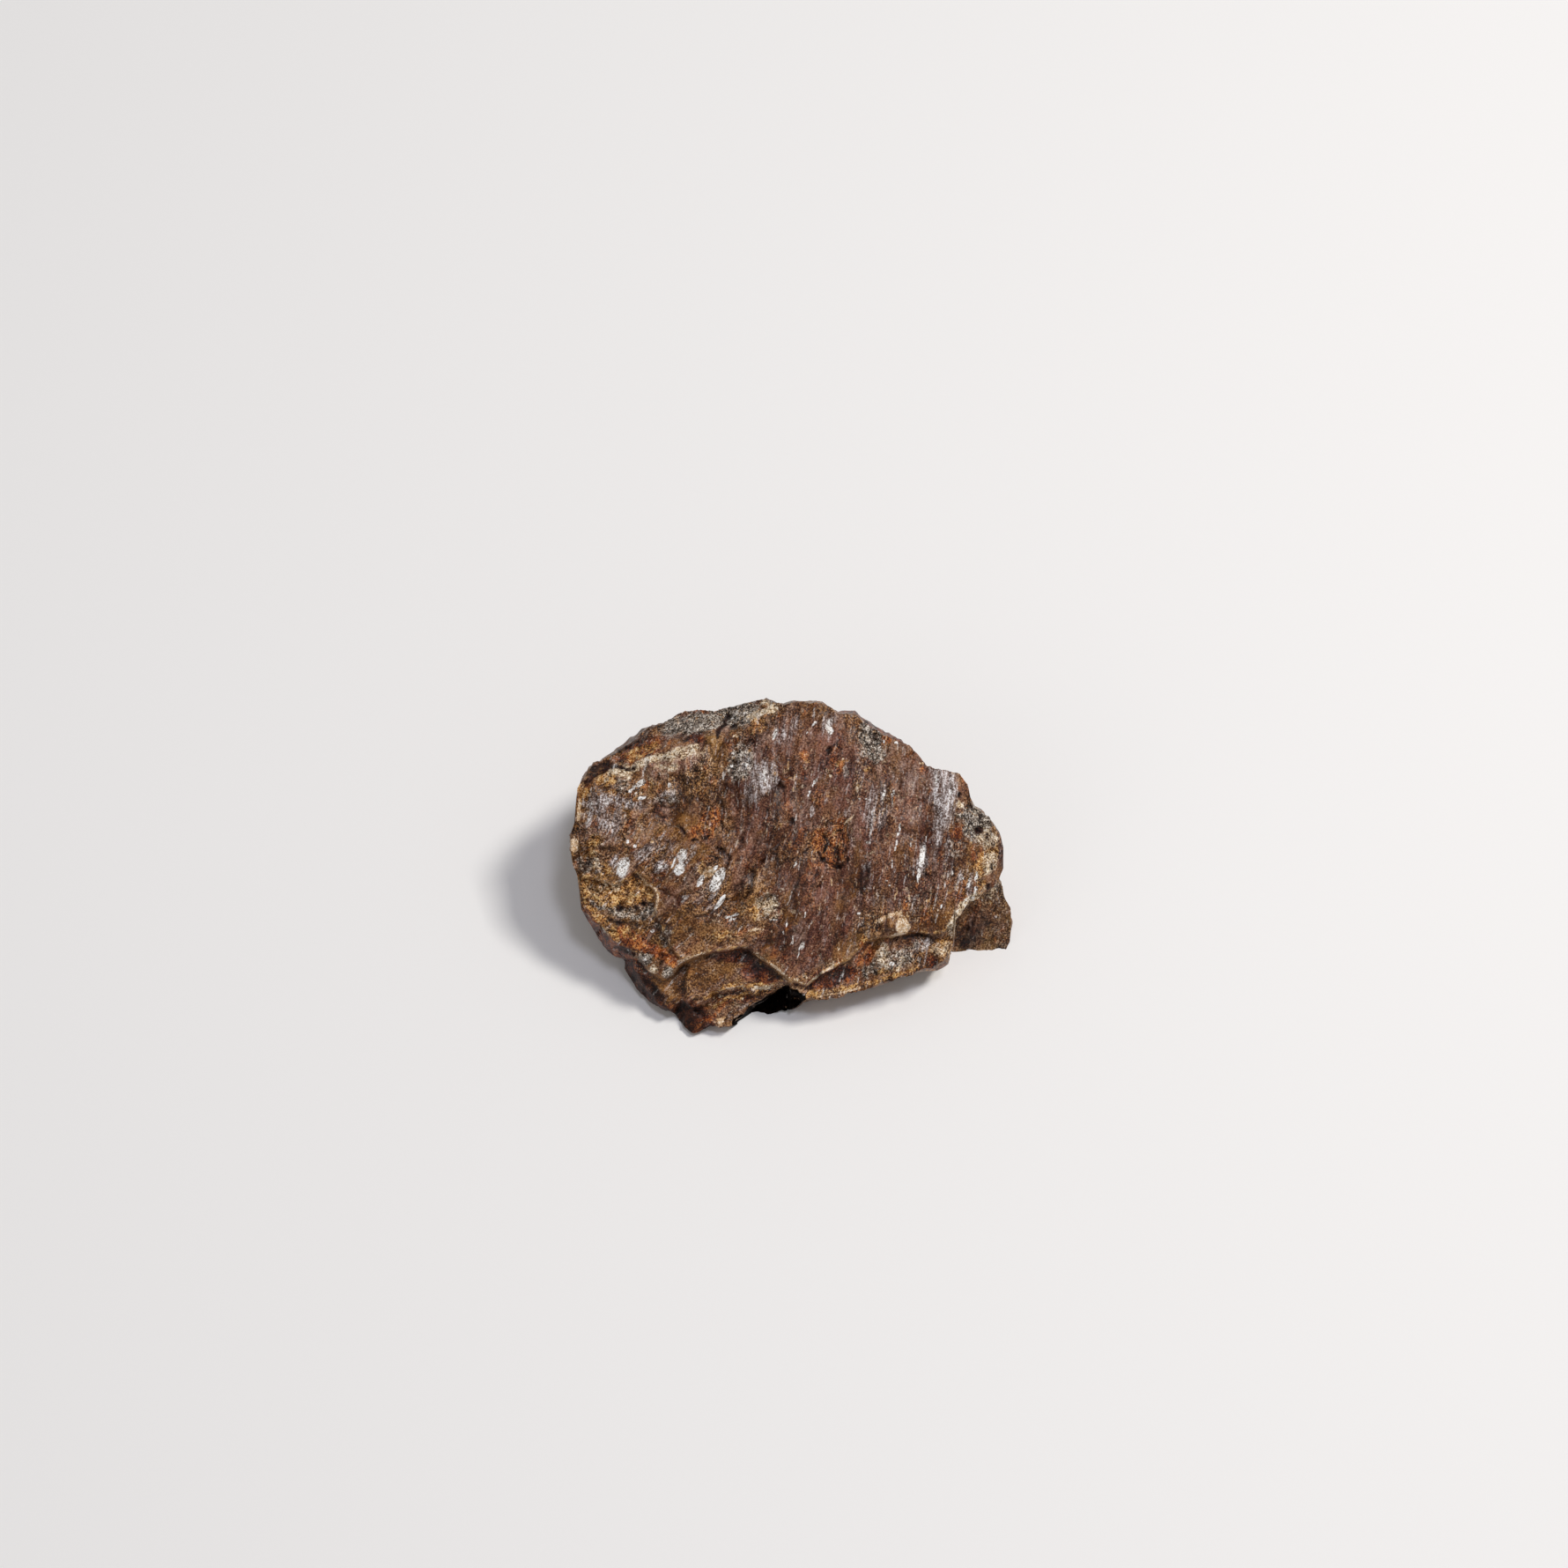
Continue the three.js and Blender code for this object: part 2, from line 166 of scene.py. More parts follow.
@dataclass(frozen=True)
class Grains:
    """Packed broken grains, each a flat facet with a tilt of its own."""

    height: float
    width: float
    length: float
    slope: float  # steepest tilt, as a share of the height to a grain's width
    step: float  # largest step between grains, as a share of the height
    seed: float

    def over(self, x: Array, y: Array) -> Array:
        """Height of the grains.

        Args:
            x: coordinates of the places, in grain widths.
            y: coordinates in grain lengths.

        Returns:
            The height in millimetres.
        """
        i, j = np.floor(x), np.floor(y)
        nearest, height = np.full(x.shape, FAR), np.zeros(x.shape)
        for di in (-1, 0, 1):
            for dj in (-1, 0, 1):
                # Five numbers of its own for each grain: its place, its tilt and its step.
                ci, cj = i + di, j + dj
                own = [lattice_value(ci, cj, np.float64(self.seed + n)) for n in (0, 5, 9, 13, 17)]
                dx = x - ci - 0.5 - GRAIN_SCATTER * own[0]
                dy = y - cj - 0.5 - GRAIN_SCATTER * own[1]
                away = np.hypot(dx, dy)
                closer = away < nearest
                tilted = own[2] * dx + own[3] * dy
                height = np.where(closer, self.slope * tilted + self.step * own[4], height)
                nearest = np.where(closer, away, nearest)
        return self.height * height


def pieces(line: Points, closed: bool = False) -> list[tuple[Point, Point]]:
    """The straight pieces of a line.

    Args:
        line: the line's points.
        closed: whether the last point is joined to the first.

    Returns:
        The two ends of each piece.
    """
    ends = [*line, line[0]] if closed else line
    return list(zip(ends[:-1], ends[1:]))


def distance_to(line: list[tuple[Point, Point]], u: Array, v: Array) -> Array:
    """Distance from places on the face to a line.

    Args:
        line: the line's straight pieces.
        u: first coordinates of the places.
        v: second coordinates.

    Returns:
        The distances in millimetres.
    """
    nearest = np.full(np.shape(u), np.inf)
    for (u0, v0), (u1, v1) in line:
        du, dv = u1 - u0, v1 - v0
        share = np.clip(((u - u0) * du + (v - v0) * dv) / (du * du + dv * dv), 0, 1)
        nearest = np.minimum(nearest, np.hypot(u - u0 - share * du, v - v0 - share * dv))
    return nearest


def depth_inside(outline: Points, u: Array, v: Array) -> Array:
    """Distance to a closed outline, positive inside it and negative outside.

    Args:
        outline: the outline's corners.
        u: first coordinates of the places.
        v: second coordinates.

    Returns:
        The signed distances in millimetres.
    """
    inside = np.zeros(np.shape(u), bool)
    edges = pieces(outline, closed=True)
    for (u0, v0), (u1, v1) in edges:
        if v0 != v1:
            crosses = (v0 > v) != (v1 > v)
            inside ^= crosses & (u < u0 + (v - v0) * (u1 - u0) / (v1 - v0))
    distance = distance_to(edges, u, v)
    return np.where(inside, distance, -distance)


# ---------------------------------------------------------------------------------------------
# The stone's forms, as in the CAD solid
# ---------------------------------------------------------------------------------------------


@dataclass(frozen=True)
class FaceFrame:
    """Where the split face is in the part's frame."""

    elevation_deg: float = 62.0
    middle: tuple[float, float, float] = (-0.2, -1.4, 8.3)

    def axes(self) -> Array:
        """The face's u, v and w directions as rows."""
        e = math.radians(self.elevation_deg)
        return np.array([[1, 0, 0], [0, math.sin(e), math.cos(e)], [0, -math.cos(e), math.sin(e)]])

    def to_part(self, places: Array) -> Array:
        """Places in u, v, w as x, y, z, both in millimetres."""
        return places @ self.axes() + np.array(self.middle)

    def to_face(self, places: Array) -> Array:
        """Places in x, y, z as u, v, w, both in millimetres."""
        return (places - np.array(self.middle)) @ self.axes().T

    def turned(self, directions: Array) -> Array:
        """Directions in x, y, z as directions in u, v, w."""
        return directions @ self.axes().T


FACE = FaceFrame()
RAGGED = Bumps(1.0, 0.9, 0.9, 3.1)  # how the edge of a break wanders


@dataclass(frozen=True)
class Break:
    """A region of the face where a layer has broken away."""

    region: Points
    steep: float  # fall to a millimetre in from the region's edge
    drop: float  # the most that it falls
    ragged: float = 0.12

    def fall(self, u: Array, v: Array) -> Array:
        """How far the face has fallen, in millimetres: 0 outside the region."""
        rough = self.ragged * RAGGED.over(u, v)
        return np.clip((depth_inside(self.region, u, v) + rough) * self.steep, 0, self.drop)


@dataclass(frozen=True)
class Swell:
    """A smooth swell or dent of the face."""

    u: float
    v: float
    across: float
    along: float
    height: float

    def rise(self, u: Array, v: Array) -> Array:
        """Height of the swell at places on the face, in millimetres."""
        across, along = (u - self.u) / self.across, (v - self.v) / self.along
        return self.height * np.exp(-(across**2) - along**2)


@dataclass(frozen=True)
class Side:
    """A large flat break around or under the stone, in the part's frame."""

    through: tuple[float, float, float]
    facing: tuple[float, float, float]

    def in_face_frame(self) -> tuple[Array, float]:
        """The plane's unit normal in u, v, w, and how far along it the plane lies."""
        normal = np.array(self.facing) / np.linalg.norm(self.facing)
        turned = FACE.turned(normal)
        return turned, float(turned @ FACE.to_face(np.array(self.through)))


OUTLINE: Points = (
    (-15.6, 1.1), (-15.35, 2.4), (-15.05, 3.3), (-15.0, 5.3), (-14.2, 6.5), (-13.9, 7.2),
    (-12.2, 7.9), (-11.0, 8.9), (-10.0, 9.7), (-9.0, 10.0), (-7.5, 10.9), (-6.4, 11.1),
    (-5.3, 10.9), (-4.6, 11.05), (-3.0, 11.55), (-1.7, 11.75), (-0.5, 11.3), (1.2, 11.5),
    (2.2, 11.45), (3.3, 10.75), (4.5, 10.7), (5.0, 10.15), (5.9, 9.6), (7.0, 9.0),
    (7.6, 8.7), (8.4, 8.4), (9.6, 7.1), (10.2, 6.8), (11.9, 6.4), (12.5, 5.7),
    (12.9, 4.2), (14.1, 3.3), (14.75, 2.3), (15.35, 0.5), (14.75, -1.1), (13.3, -2.2),
    (12.4, -2.9), (11.6, -3.8), (11.7, -5.0), (10.9, -6.7), (10.1, -7.2), (9.2, -7.3),
    (7.2, -8.1), (4.6, -8.9), (2.5, -9.35), (1.3, -9.45), (0.0, -10.2), (-2.0, -10.7),
    (-4.3, -11.3), (-5.6, -11.4), (-6.7, -11.85), (-7.6, -11.3), (-8.1, -10.7), (-9.2, -10.0),
    (-10.2, -9.5), (-10.9, -8.8), (-11.9, -7.2), (-12.5, -6.4), (-13.3, -5.8), (-14.1, -4.1),
    (-15.1, -2.4), (-15.1, -1.8), (-14.8, -1.0),
)

PLATE_EDGE: Points = (
    (-10.9, -0.3), (-10.3, -0.6), (-10.0, -1.1), (-9.6, -1.4), (-9.3, -1.9), (-9.4, -2.5),
    (-9.45, -3.2), (-9.2, -3.7), (-9.0, -4.3), (-8.6, -5.2), (-8.3, -5.8), (-7.9, -6.2),
    (-7.6, -6.4), (-6.6, -6.2), (-5.5, -5.9), (-4.3, -5.8), (-3.4, -5.6), (-2.8, -5.7),
    (-2.3, -6.2), (-1.6, -6.8), (-0.8, -7.3), (-0.1, -7.8), (0.5, -8.1), (1.1, -8.35),
    (1.8, -7.9), (2.5, -7.4), (3.3, -7.0), (4.3, -6.4), (4.9, -5.8), (5.3, -5.3), (6.2, -5.0),
    (7.2, -4.9), (8.5, -4.6), (9.8, -4.7), (10.8, -4.7), (11.6, -4.0),
)

BEVEL_EDGE: Points = (
    (-14.9, 5.7), (-14.1, 6.15), (-13.0, 6.55), (-11.9, 6.7), (-11.1, 6.95), (-10.2, 7.45),
    (-9.3, 7.95), (-8.2, 8.35), (-7.0, 8.8), (-5.6, 9.1), (-4.6, 9.0), (-3.6, 9.25),
    (-2.8, 9.9), (-1.9, 10.6), (-1.0, 11.1),
)

BREAKS: dict[str, Break] = {
    "granular bevel": Break(
        ((-16.5, 5.2), *BEVEL_EDGE, (-0.6, 13), (-8, 16), (-18, 12)), 1.25, 3.2, 0.2,
    ),
    "ochre crust": Break(
        ((-17, -0.8), (-14.9, -0.7), (-13.6, -0.95), (-12.4, -1.2), (-11.4, -0.75),
         (-10.7, -0.35), (-10.2, -0.75), (-9.75, -1.3), (-9.35, -1.8), (-9.35, -2.6),
         (-9.45, -3.3), (-9.1, -4.0), (-8.8, -4.8), (-8.35, -5.6), (-7.7, -6.3), (-7, -7),
         (-8, -15), (-18, -13)), 2.6, 0.55, 0.2,
    ),
    "lower left wall": Break(
        ((-17, -2.5), (-14.7, -3.1), (-13.5, -4.1), (-12.5, -5.1), (-12.0, -5.5),
         (-11.2, -5.9), (-10.9, -6.6), (-11.0, -7.3), (-10.4, -8.4), (-9.5, -9.5),
         (-8.5, -10.3), (-8.0, -10.9), (-7.3, -11.7), (-6.9, -13), (-12, -15), (-18, -8)),
        2.5, 4.2, 0.2,
    ),
    "lower ledge": Break(
        ((-12.6, -6.6), (-10.6, -6.4), (-9.8, -7.3), (-8.9, -7.9), (-8.4, -7.6), (-7.9, -7.0),
         (-7.2, -6.55), (-6.4, -6.25), (-5.4, -5.95), (-4.3, -5.85), (-3.4, -5.65),
         (-2.8, -5.75), (-2.2, -6.25), (-1.5, -6.85), (-0.8, -7.3), (-0.1, -7.8), (0.2, -8.3),
         (0.2, -15), (-13, -15)), 4.0, 1.15, 0.07,
    ),
    "flakes": Break(
        ((-8.4, -9.8), (-7.4, -9.4), (-6.6, -9.9), (-6.2, -9.6), (-5.5, -9.0), (-4.6, -8.6),
         (-3.4, -8.5), (-2.6, -8.75), (-1.6, -8.4), (-0.6, -8.05), (0.3, -8.1), (0.3, -15),
         (-9, -15)), 1.8, 0.8, 0.3,
    ),
    "hollow": Break(
        ((0.5, -8.9), (-0.1, -8.4), (-0.8, -8.65), (-1.6, -9.15), (-2.4, -9.7), (-3.2, -10.4),
         (-3.9, -10.9), (-4.4, -12), (3, -13), (1.7, -9.75), (1.1, -9.5)), 4.5, 1.6, 0.15,
    ),
    "right ledge": Break(
        ((0.1, -8.0), (0.6, -8.2), (1.15, -8.35), (1.8, -7.9), (2.6, -7.4), (3.3, -7.0),
         (4.2, -6.5), (4.9, -5.8), (5.3, -5.3), (6.3, -5.0), (7.4, -4.85), (8.5, -4.6),
         (9.8, -4.75), (10.6, -4.9), (11.0, -4.3), (12, -3.9), (15, -6), (12, -13), (0, -13)),
        4.0, 0.75, 0.1,
    ),
    "right rim": Break(
        ((12.2, -3.4), (12.5, -2.2), (12.9, -1.2), (12.8, 0), (12.7, 1.0), (12.3, 2.0),
         (12.0, 3.2), (11.8, 4.6), (12.1, 7), (18, 7), (18, -4)), 0.6, 1.7, 0.25,
    ),
}

SWELLS: tuple[Swell, ...] = (
    Swell(-1.6, 5.8, 1.3, 2.2, 0.5),  # the hump
    Swell(-4.0, 4.6, 0.6, 2.5, -0.45),  # the groove beside it
    Swell(-12.8, 3.6, 2.2, 2.2, 0.4),
    Swell(-8.8, 3.6, 1.9, 1.3, -0.6),
    Swell(-6.3, -0.9, 2.6, 1.7, 0.3),
    Swell(6.6, 1.5, 3.6, 5.0, 0.3),
    Swell(2.9, 1.6, 1.2, 1.4, -0.4),  # the rusty pit
    Swell(-1.4, -3.0, 1.0, 1.0, -0.3),
    Swell(9.9, 2.6, 0.7, 4.0, -0.3),
    Swell(11.1, 5.0, 0.8, 2.0, 0.3),
    Swell(5.7, 8.8, 0.9, 1.3, -0.35),
    Swell(7.4, -4.1, 0.9, 0.6, 0.35),  # the small block
    Swell(-6.0, -8.1, 2.0, 1.0, -0.25),
)

SIDES: dict[str, Side] = {
    "back": Side((0, 10.1, 11), (0.05, 0.97, -0.24)),
    "back left": Side((-11.4, 8.7, 9), (-0.62, 0.74, -0.26)),
    "back right": Side((11.8, 5.9, 9.5), (0.66, 0.7, -0.26)),
    "left": Side((-15.6, 1, 7.4), (-0.9, 0.12, -0.42)),
    "left underside": Side((-9.9, 0, 0), (-0.56, 0.05, -0.83)),
    "back underside": Side((0, 7.2, 0), (-0.12, 0.72, -0.68)),
    "back left underside": Side((-6.5, 5.2, 0), (-0.55, 0.5, -0.67)),
    "front left underside": Side((-8.2, -9.5, 0), (-0.5, -0.45, -0.74)),
    "front underside": Side((9.5, -5.2, 0), (0.28, -0.8, -0.53)),
    "right": Side((15.0, 0, 6.6), (0.86, 0.12, -0.5)),
    "right underside": Side((12.6, 1, 0), (0.72, 0.22, -0.66)),
    "below the base": Side((0, 0, -4), (0, 0, -1)),
}

LUMP_OUTLINE: Points = (
    (9, -6.6), (11.6, -6.55), (13, -6.6), (14.5, -6.7), (15.4, -6.45), (15.75, -5.5),
    (15.9, -4.1), (15.75, -3.1), (15.3, -2.3), (15.15, -1.5), (14.7, -0.8), (13.4, 1.5), (9, 2),
)
LUMP_SIDES: dict[str, Side] = {
    "front": Side((13.5, -2.2, 2.6), (0.05, -0.8, 0.6)),
    "front underside": Side((13.5, -4.3, 0), (0.1, -0.86, -0.5)),
    "top": Side((13, -0.6, 4.6), (0.16, -0.25, 0.95)),
    "back": Side((13, 3.4, 3), (0.4, 0.9, 0.1)),
    "below the base": Side((0, 0, -4), (0, 0, -1)),
}


# ---------------------------------------------------------------------------------------------
# What colours the face, and where
# ---------------------------------------------------------------------------------------------


class Stain(Enum):
    """The minerals and stains that show on the stone, and its painted highlights, sheen and shade;
    each is a mask on the mesh.
    """

    PLUM_AND_SHADE = "plum_and_shade"
    TAN = "tan"
    PALE_AND_SHEEN = "pale_and_sheen"
    AMBER = "amber"
    LIVER_AND_SHADE = "liver_and_shade"
    RUST = "rust"
    METAL = "metal"
    OCHRE = "ochre"
    SAND = "sand"
    PAINTED_SHEEN = "painted_sheen"
    CREAM = "cream"
    DARK_AND_SHADE = "dark_and_shade"
    PAINTED_SHADOW = "painted_shadow"
    PAINTED_GLINT = "painted_glint"
    MATRIX = "matrix"


Masks = dict[Stain, Array]
PATCH_EDGE: Span = (0.55, 1.45)  # where a patch fades out, from 0 in its middle to 1 at its rim
STREAK_EDGE: Span = (0.3, 1.6)  # where a streak does, from 0 on its line to 1 a width away


@dataclass(frozen=True)
class Patch:
    """A leaning oval of one stain on the face."""

    u: float
    v: float
    across: float
    along: float
    lean_deg: float = 10.0
    strength: float = 1.0

    def cover(self, u: Array, v: Array) -> Array:
        """How much of the stain lies at places on the face.

        Args:
            u: first coordinates of the places.
            v: second coordinates.

        Returns:
            The cover, from 0 to the patch's strength.
        """
        a = math.radians(self.lean_deg)
        du, dv = u - self.u, v - self.v
        across = (du * math.cos(a) - dv * math.sin(a)) / self.across
        along = (du * math.sin(a) + dv * math.cos(a)) / self.along
        return self.strength * (1 - smooth(*PATCH_EDGE, np.hypot(across, along)))


@dataclass(frozen=True)
class Streak:
    """A line of one stain on the face."""

    line: Points
    width: float
    strength: float = 1.0

    def cover(self, u: Array, v: Array) -> Array:
        """How much of the stain lies at places on the face, from 0 to strength."""
        away = distance_to(pieces(self.line), u, v) / self.width
        return self.strength * (1 - smooth(*STREAK_EDGE, away))


@dataclass(frozen=True)
class Region:
    """A region of one stain on the face."""

    outline: Points
    soft: float = 0.4
    strength: float = 1.0

    def cover(self, u: Array, v: Array) -> Array:
        """How much of the stain lies at places on the face, from 0 to strength."""
        return self.strength * smooth(-self.soft, self.soft, depth_inside(self.outline, u, v))


def patches(*rows: tuple[float, ...]) -> tuple[Patch, ...]:
    """Patches from rows of u, v, half-widths across and along, lean and strength."""
    return tuple(Patch(*row) for row in rows)


STAINS: dict[Stain, tuple[Patch | Streak | Region, ...]] = {
    # Plum-brown stone; the streak under the plate's edge and the patch at (-4, -6.4) are painted
    # shade there.
    Stain.PLUM_AND_SHADE: (
        *patches(
            (7.2, 6.8, 2.2, 2, 20, 0.8), (-3.2, -0.5, 0.9, 1.4, 25, 0.8),
            (-5.8, -2.9, 1, 0.6, 30, 0.8), (-5.6, 1.8, 0.5, 0.5, 20, 0.8),
            (2.7, -4.9, 0.7, 2, 0, 0.9), (-2.8, -7.6, 0.9, 0.6, 40, 0.9),
            (7.2, -8, 0.3, 0.7, 70, 0.8), (-8.7, -2.2, 0.6, 0.9, 10, 0.5),
            (9, 5.2, 2.8, 4, 8, 0.75), (4.6, 9, 2.6, 1.6, 25, 0.6), (2.6, -4.2, 1.9, 1.6, 0),
            (-4.2, 6, 0.9, 0.8, 20, 0.8), (-8.6, 3.9, 0.4, 1, 70, 0.6),
            (-4, -6.4, 0.5, 1.3, 80, 0.9), (-3, 0, 1, 1.8, 20, 0.7), (-8.4, -2.2, 1, 0.9, 30, 0.7),
            (-5.65, 1.8, 0.4, 0.5, 60, 0.9), (-4.2, 1, 0.7, 1, 20, 0.7),
            (11, 0.2, 1.4, 1.6, 10, 0.6), (0.6, -4.6, 1.6, 1.4, 20, 0.8),
            (-5, -4, 0.7, 1.6, 75, 0.7), (-1.6, -5.4, 1.1, 2.6, 80, 0.75),
            (0.6, -6.6, 1.6, 1.2, 10, 0.9), (-5.6, 0.8, 0.8, 1.4, 40, 0.6),
        ),
        Streak(((-5.3, -6.3), (-4.2, -6.2), (-3.2, -6.4), (-2.6, -7)), 0.5, 0.9),
        Region(((-3.4, 9.6), (0, 10.8), (4, 9.9), (9, 7.2), (10.6, 4), (12, 1), (11.4, -2.2),
                (8.4, -3.2), (5.4, -3.4), (4.4, -6), (1.3, -7.8), (-0.6, -4.6), (-1.6, -1.6),
                (-4.2, 0.6), (-4.4, 5)), 1.2, 0.9),
    ),
    Stain.TAN: (
        *patches(
            (-10.6, -0.6, 3.4, 5, 60, 0.55), (-8.6, -2.6, 1.8, 1.8, 30, 0.7),
            (-6.2, 5.7, 0.9, 0.9, 30, 0.9), (-13.9, 0.2, 1.2, 1.8, 10, 0.8),
            (-6, -4.4, 1.6, 1, 25, 0.7), (1.3, 7.2, 0.9, 1.1, 10, 0.7),
            (9.7, -3.3, 1.2, 1.6, 70, 0.8), (5, -4.4, 1.3, 1.2, 30, 0.7),
            (13.6, 0.4, 0.9, 1.8, 10, 0.8), (12.2, -3, 0.9, 1.4, 35, 0.8),
            (-11.8, 7.2, 0.7, 2.2, 65, 0.7), (-7.6, 5.6, 2.4, 1.4, 30, 0.6),
            (-9.2, 5.85, 0.5, 0.6, 0), (-8.5, 1.8, 2.2, 1.6, 20, 0.5),
            (-1.3, -0.2, 0.6, 1.4, 10, 0.8), (-2.6, -3, 0.4, 0.9, 0, 0.9),
            (-4, -4.8, 0.8, 2.4, 85, 0.8), (4.2, -6, 0.9, 1.1, 0, 0.6),
            (0.8, 7.2, 0.6, 1.2, 10, 0.8), (3.9, 5.2, 0.8, 1, 60, 0.9),
            (-1.5, 8.6, 1.4, 1.8, 20, 0.5), (5.6, -3.8, 0.9, 3, 80, 0.6),
            (7.9, 0.8, 0.8, 0.8, 0, 0.6), (9.8, -3.8, 1, 1.4, 80), (11.4, -2.6, 1.4, 1.2, 20, 0.7),
            (13.5, -1.1, 0.5, 0.9, 10, 0.8),
        ),
    ),
    # Pale satin stone, in part painted sheen: the broad patches over the right and the top.
    Stain.PALE_AND_SHEEN: (
        *patches(
            (-8.3, 7.3, 0.9, 2.6, 70, 0.75), (-10.4, 2.2, 4, 3, 30, 0.25),
            (8.8, 5.6, 2.6, 3, 10, 0.6), (6.3, 8.4, 1.6, 1.2, 40, 0.5), (7, 5, 1.6, 2.2, 10, 0.4),
            (1.4, 9.2, 1.6, 2.8, 80, 0.35), (6.5, -2, 3.4, 2.2, 20, 0.2),
            (13.8, 0.2, 1, 2, 10, 0.4),
        ),
    ),
    Stain.AMBER: (
        *patches(
            (3.4, -5.9, 0.5, 0.9, 0, 0.5), (9.8, -3.7, 0.7, 1.3, 80, 0.6),
            (-7.9, 3, 0.9, 1.3, 60, 0.7), (-6.2, 0.9, 0.6, 0.9, 60, 0.7),
            (-1.6, -5.6, 1.3, 2.8, 75, 0.35), (-6.6, -4.4, 1.8, 1, 25, 0.5),
            (3.9, 5.4, 0.7, 0.9, 60, 0.4), (6, 1.8, 0.8, 0.8, 0, 0.35),
            (7.8, 0.8, 0.6, 1.4, 8, 0.5), (-9.3, 2.6, 0.6, 1, 60, 0.5),
            (0.2, -3, 0.7, 1.4, 14, 0.5), (-6.9, -8.1, 0.5, 0.7, 0, 0.8),
            (-8.7, -8.6, 0.8, 1.5, -28, 0.9),
        ),
        Region(((-7.2, -6.6), (-6.2, -6.3), (-4.6, -6.2), (-3.9, -6.8), (-3.6, -8.2), (-4.6, -8.7),
                (-5.6, -9.2), (-6.6, -9.6), (-7.2, -9), (-7.7, -8.6)), 0.8, 0.85),
    ),
    # Liver-brown ledges; the patch at the tip, the patch at (-4, -6.4) and the region down the
    # lower left wall are painted shade.
    Stain.LIVER_AND_SHADE: (
        *patches(
            (-6.9, -10.9, 1.6, 1.2, 30), (2.8, -7.9, 0.7, 2.4, 76), (-11, -5.3, 1.6, 0.6, 28, 0.9),
            (-4, -6.4, 0.5, 1.2, 80, 0.8), (-2.6, -7.2, 1.2, 0.7, 32, 0.9),
            (10.2, -6.4, 0.4, 0.7, 20, 0.7), (-3.5, -9.1, 0.8, 2.4, 68, 0.8),
            (-1.6, -6, 0.9, 2.2, 78, 0.35), (12, 2.5, 0.6, 0.6, 0, 0.6),
            (3.35, 8.5, 0.3, 0.2, 0, 0.9), (1, 6.3, 0.3, 0.4, 0, 0.7),
            (-6.5, 8.9, 0.4, 1, 80, 0.7), (-10.6, 8, 0.8, 2.2, 62, 0.85),
            (12.2, -1.8, 0.9, 1, 20, 0.5), (-9.4, -0.4, 0.6, 1, 60, 0.5),
            (13.3, 1, 0.6, 0.9, 0, 0.4),
        ),
        Region(((-14.9, -2.9), (-13.5, -4.1), (-12.4, -5.3), (-11.2, -6.1), (-10.4, -7),
                (-9.9, -7.6), (-9.4, -8.8), (-8.6, -10.2), (-7.6, -9.9), (-6.4, -9.9),
                (-5.6, -10.6), (-6.6, -13), (-12, -14), (-18, -12), (-18, -3)), 0.3),
        Region(((2.1, -7.6), (3.3, -6.95), (4.6, -6.9), (4.9, -7.8), (4.2, -8.3),
                (2.4, -8.5)), 0.3, 0.9),
    ),
    Stain.RUST: (
        *patches(
            (2.9, 1.6, 1.5, 1.8, 20, 0.95), (2.95, 1.95, 0.7, 0.9), (3.5, 3.2, 0.3, 0.5, 70, 0.9),
            (-5.8, 2.9, 0.75, 1.6, 42, 0.85), (-11, -5.2, 1.3, 0.5, 28),
            (-10.4, 8.1, 0.5, 1.9, 62, 0.7), (-11.2, 2.8, 0.5, 0.8, 30, 0.7),
            (-6.4, 10.8, 0.3, 0.5, 70, 0.9), (6.7, 8.9, 0.4, 0.35, 0, 0.8),
            (3.45, 6.9, 0.3, 0.8, 10, 0.7), (0.8, 7.2, 0.4, 0.9, 10, 0.6),
            (-1.55, 3.55, 0.35, 0.35, 0, 0.6), (-11.4, -4.9, 0.8, 0.6, 28, 0.8),
            (-8.5, -10.1, 0.2, 0.5, 80, 0.9), (12.1, 5.75, 0.5, 0.6, 0, 0.45),
            (5.3, -6.2, 0.9, 1, 0, 0.8), (9.5, 6.6, 0.35, 0.6, 80, 0.7),
            (14.3, 1.1, 0.5, 0.6, 0, 0.6), (8.1, -3, 0.7, 1, 10, 0.4),
            (-2.35, 9.85, 0.6, 0.8, 20, 0.6), (-3.7, -4.6, 0.4, 1.6, 85, 0.5),
            (0.4, 4.6, 0.4, 0.8, 12, 0.4),
        ),
        Streak(((-11.2, -5.2), (-9.5, -5.9), (-8.3, -6.8)), 0.4),
        Streak(((-6.9, -11.8), (-6.3, -11.3), (-5.4, -10.6), (-4.6, -9.9),
                (-4.2, -9.6)), 0.2, 0.9),
    ),
    Stain.METAL: (
        *patches(
            (-6.6, 9.95, 0.7, 1.5, 75), (-3.3, 10.7, 0.8, 1.3, 65), (5.6, 9, 0.85, 1.3, 5),
            (6.1, 7.8, 0.65, 0.7, 0, 0.9), (13.2, 3.1, 1.2, 1.3, 0), (12.3, 3.4, 0.5, 0.4, 0, 0.8),
            (14.1, 1.8, 0.6, 0.7, 0, 0.6), (-3.4, 7.2, 0.9, 1.25, 10, 0.95),
            (-8.6, 4.8, 0.5, 1, 75, 0.6), (-11.8, 5.65, 0.45, 0.6, 60, 0.7),
            (-13.95, 0, 1, 0.8, 0, 0.65), (-10.25, -6.5, 0.5, 0.5, 0, 0.9),
            (-8.65, -7.45, 0.4, 0.45, 0, 0.9), (-12.75, -4.6, 0.3, 0.35, 0, 0.9),
            (-9.45, -4.3, 0.5, 0.2, 0, 0.6), (-8.8, -5, 0.4, 0.9, 10, 0.6),
            (-1.65, -2.8, 0.9, 1, 10, 0.5), (-1.2, -2.4, 0.45, 0.5, 0, 0.75),
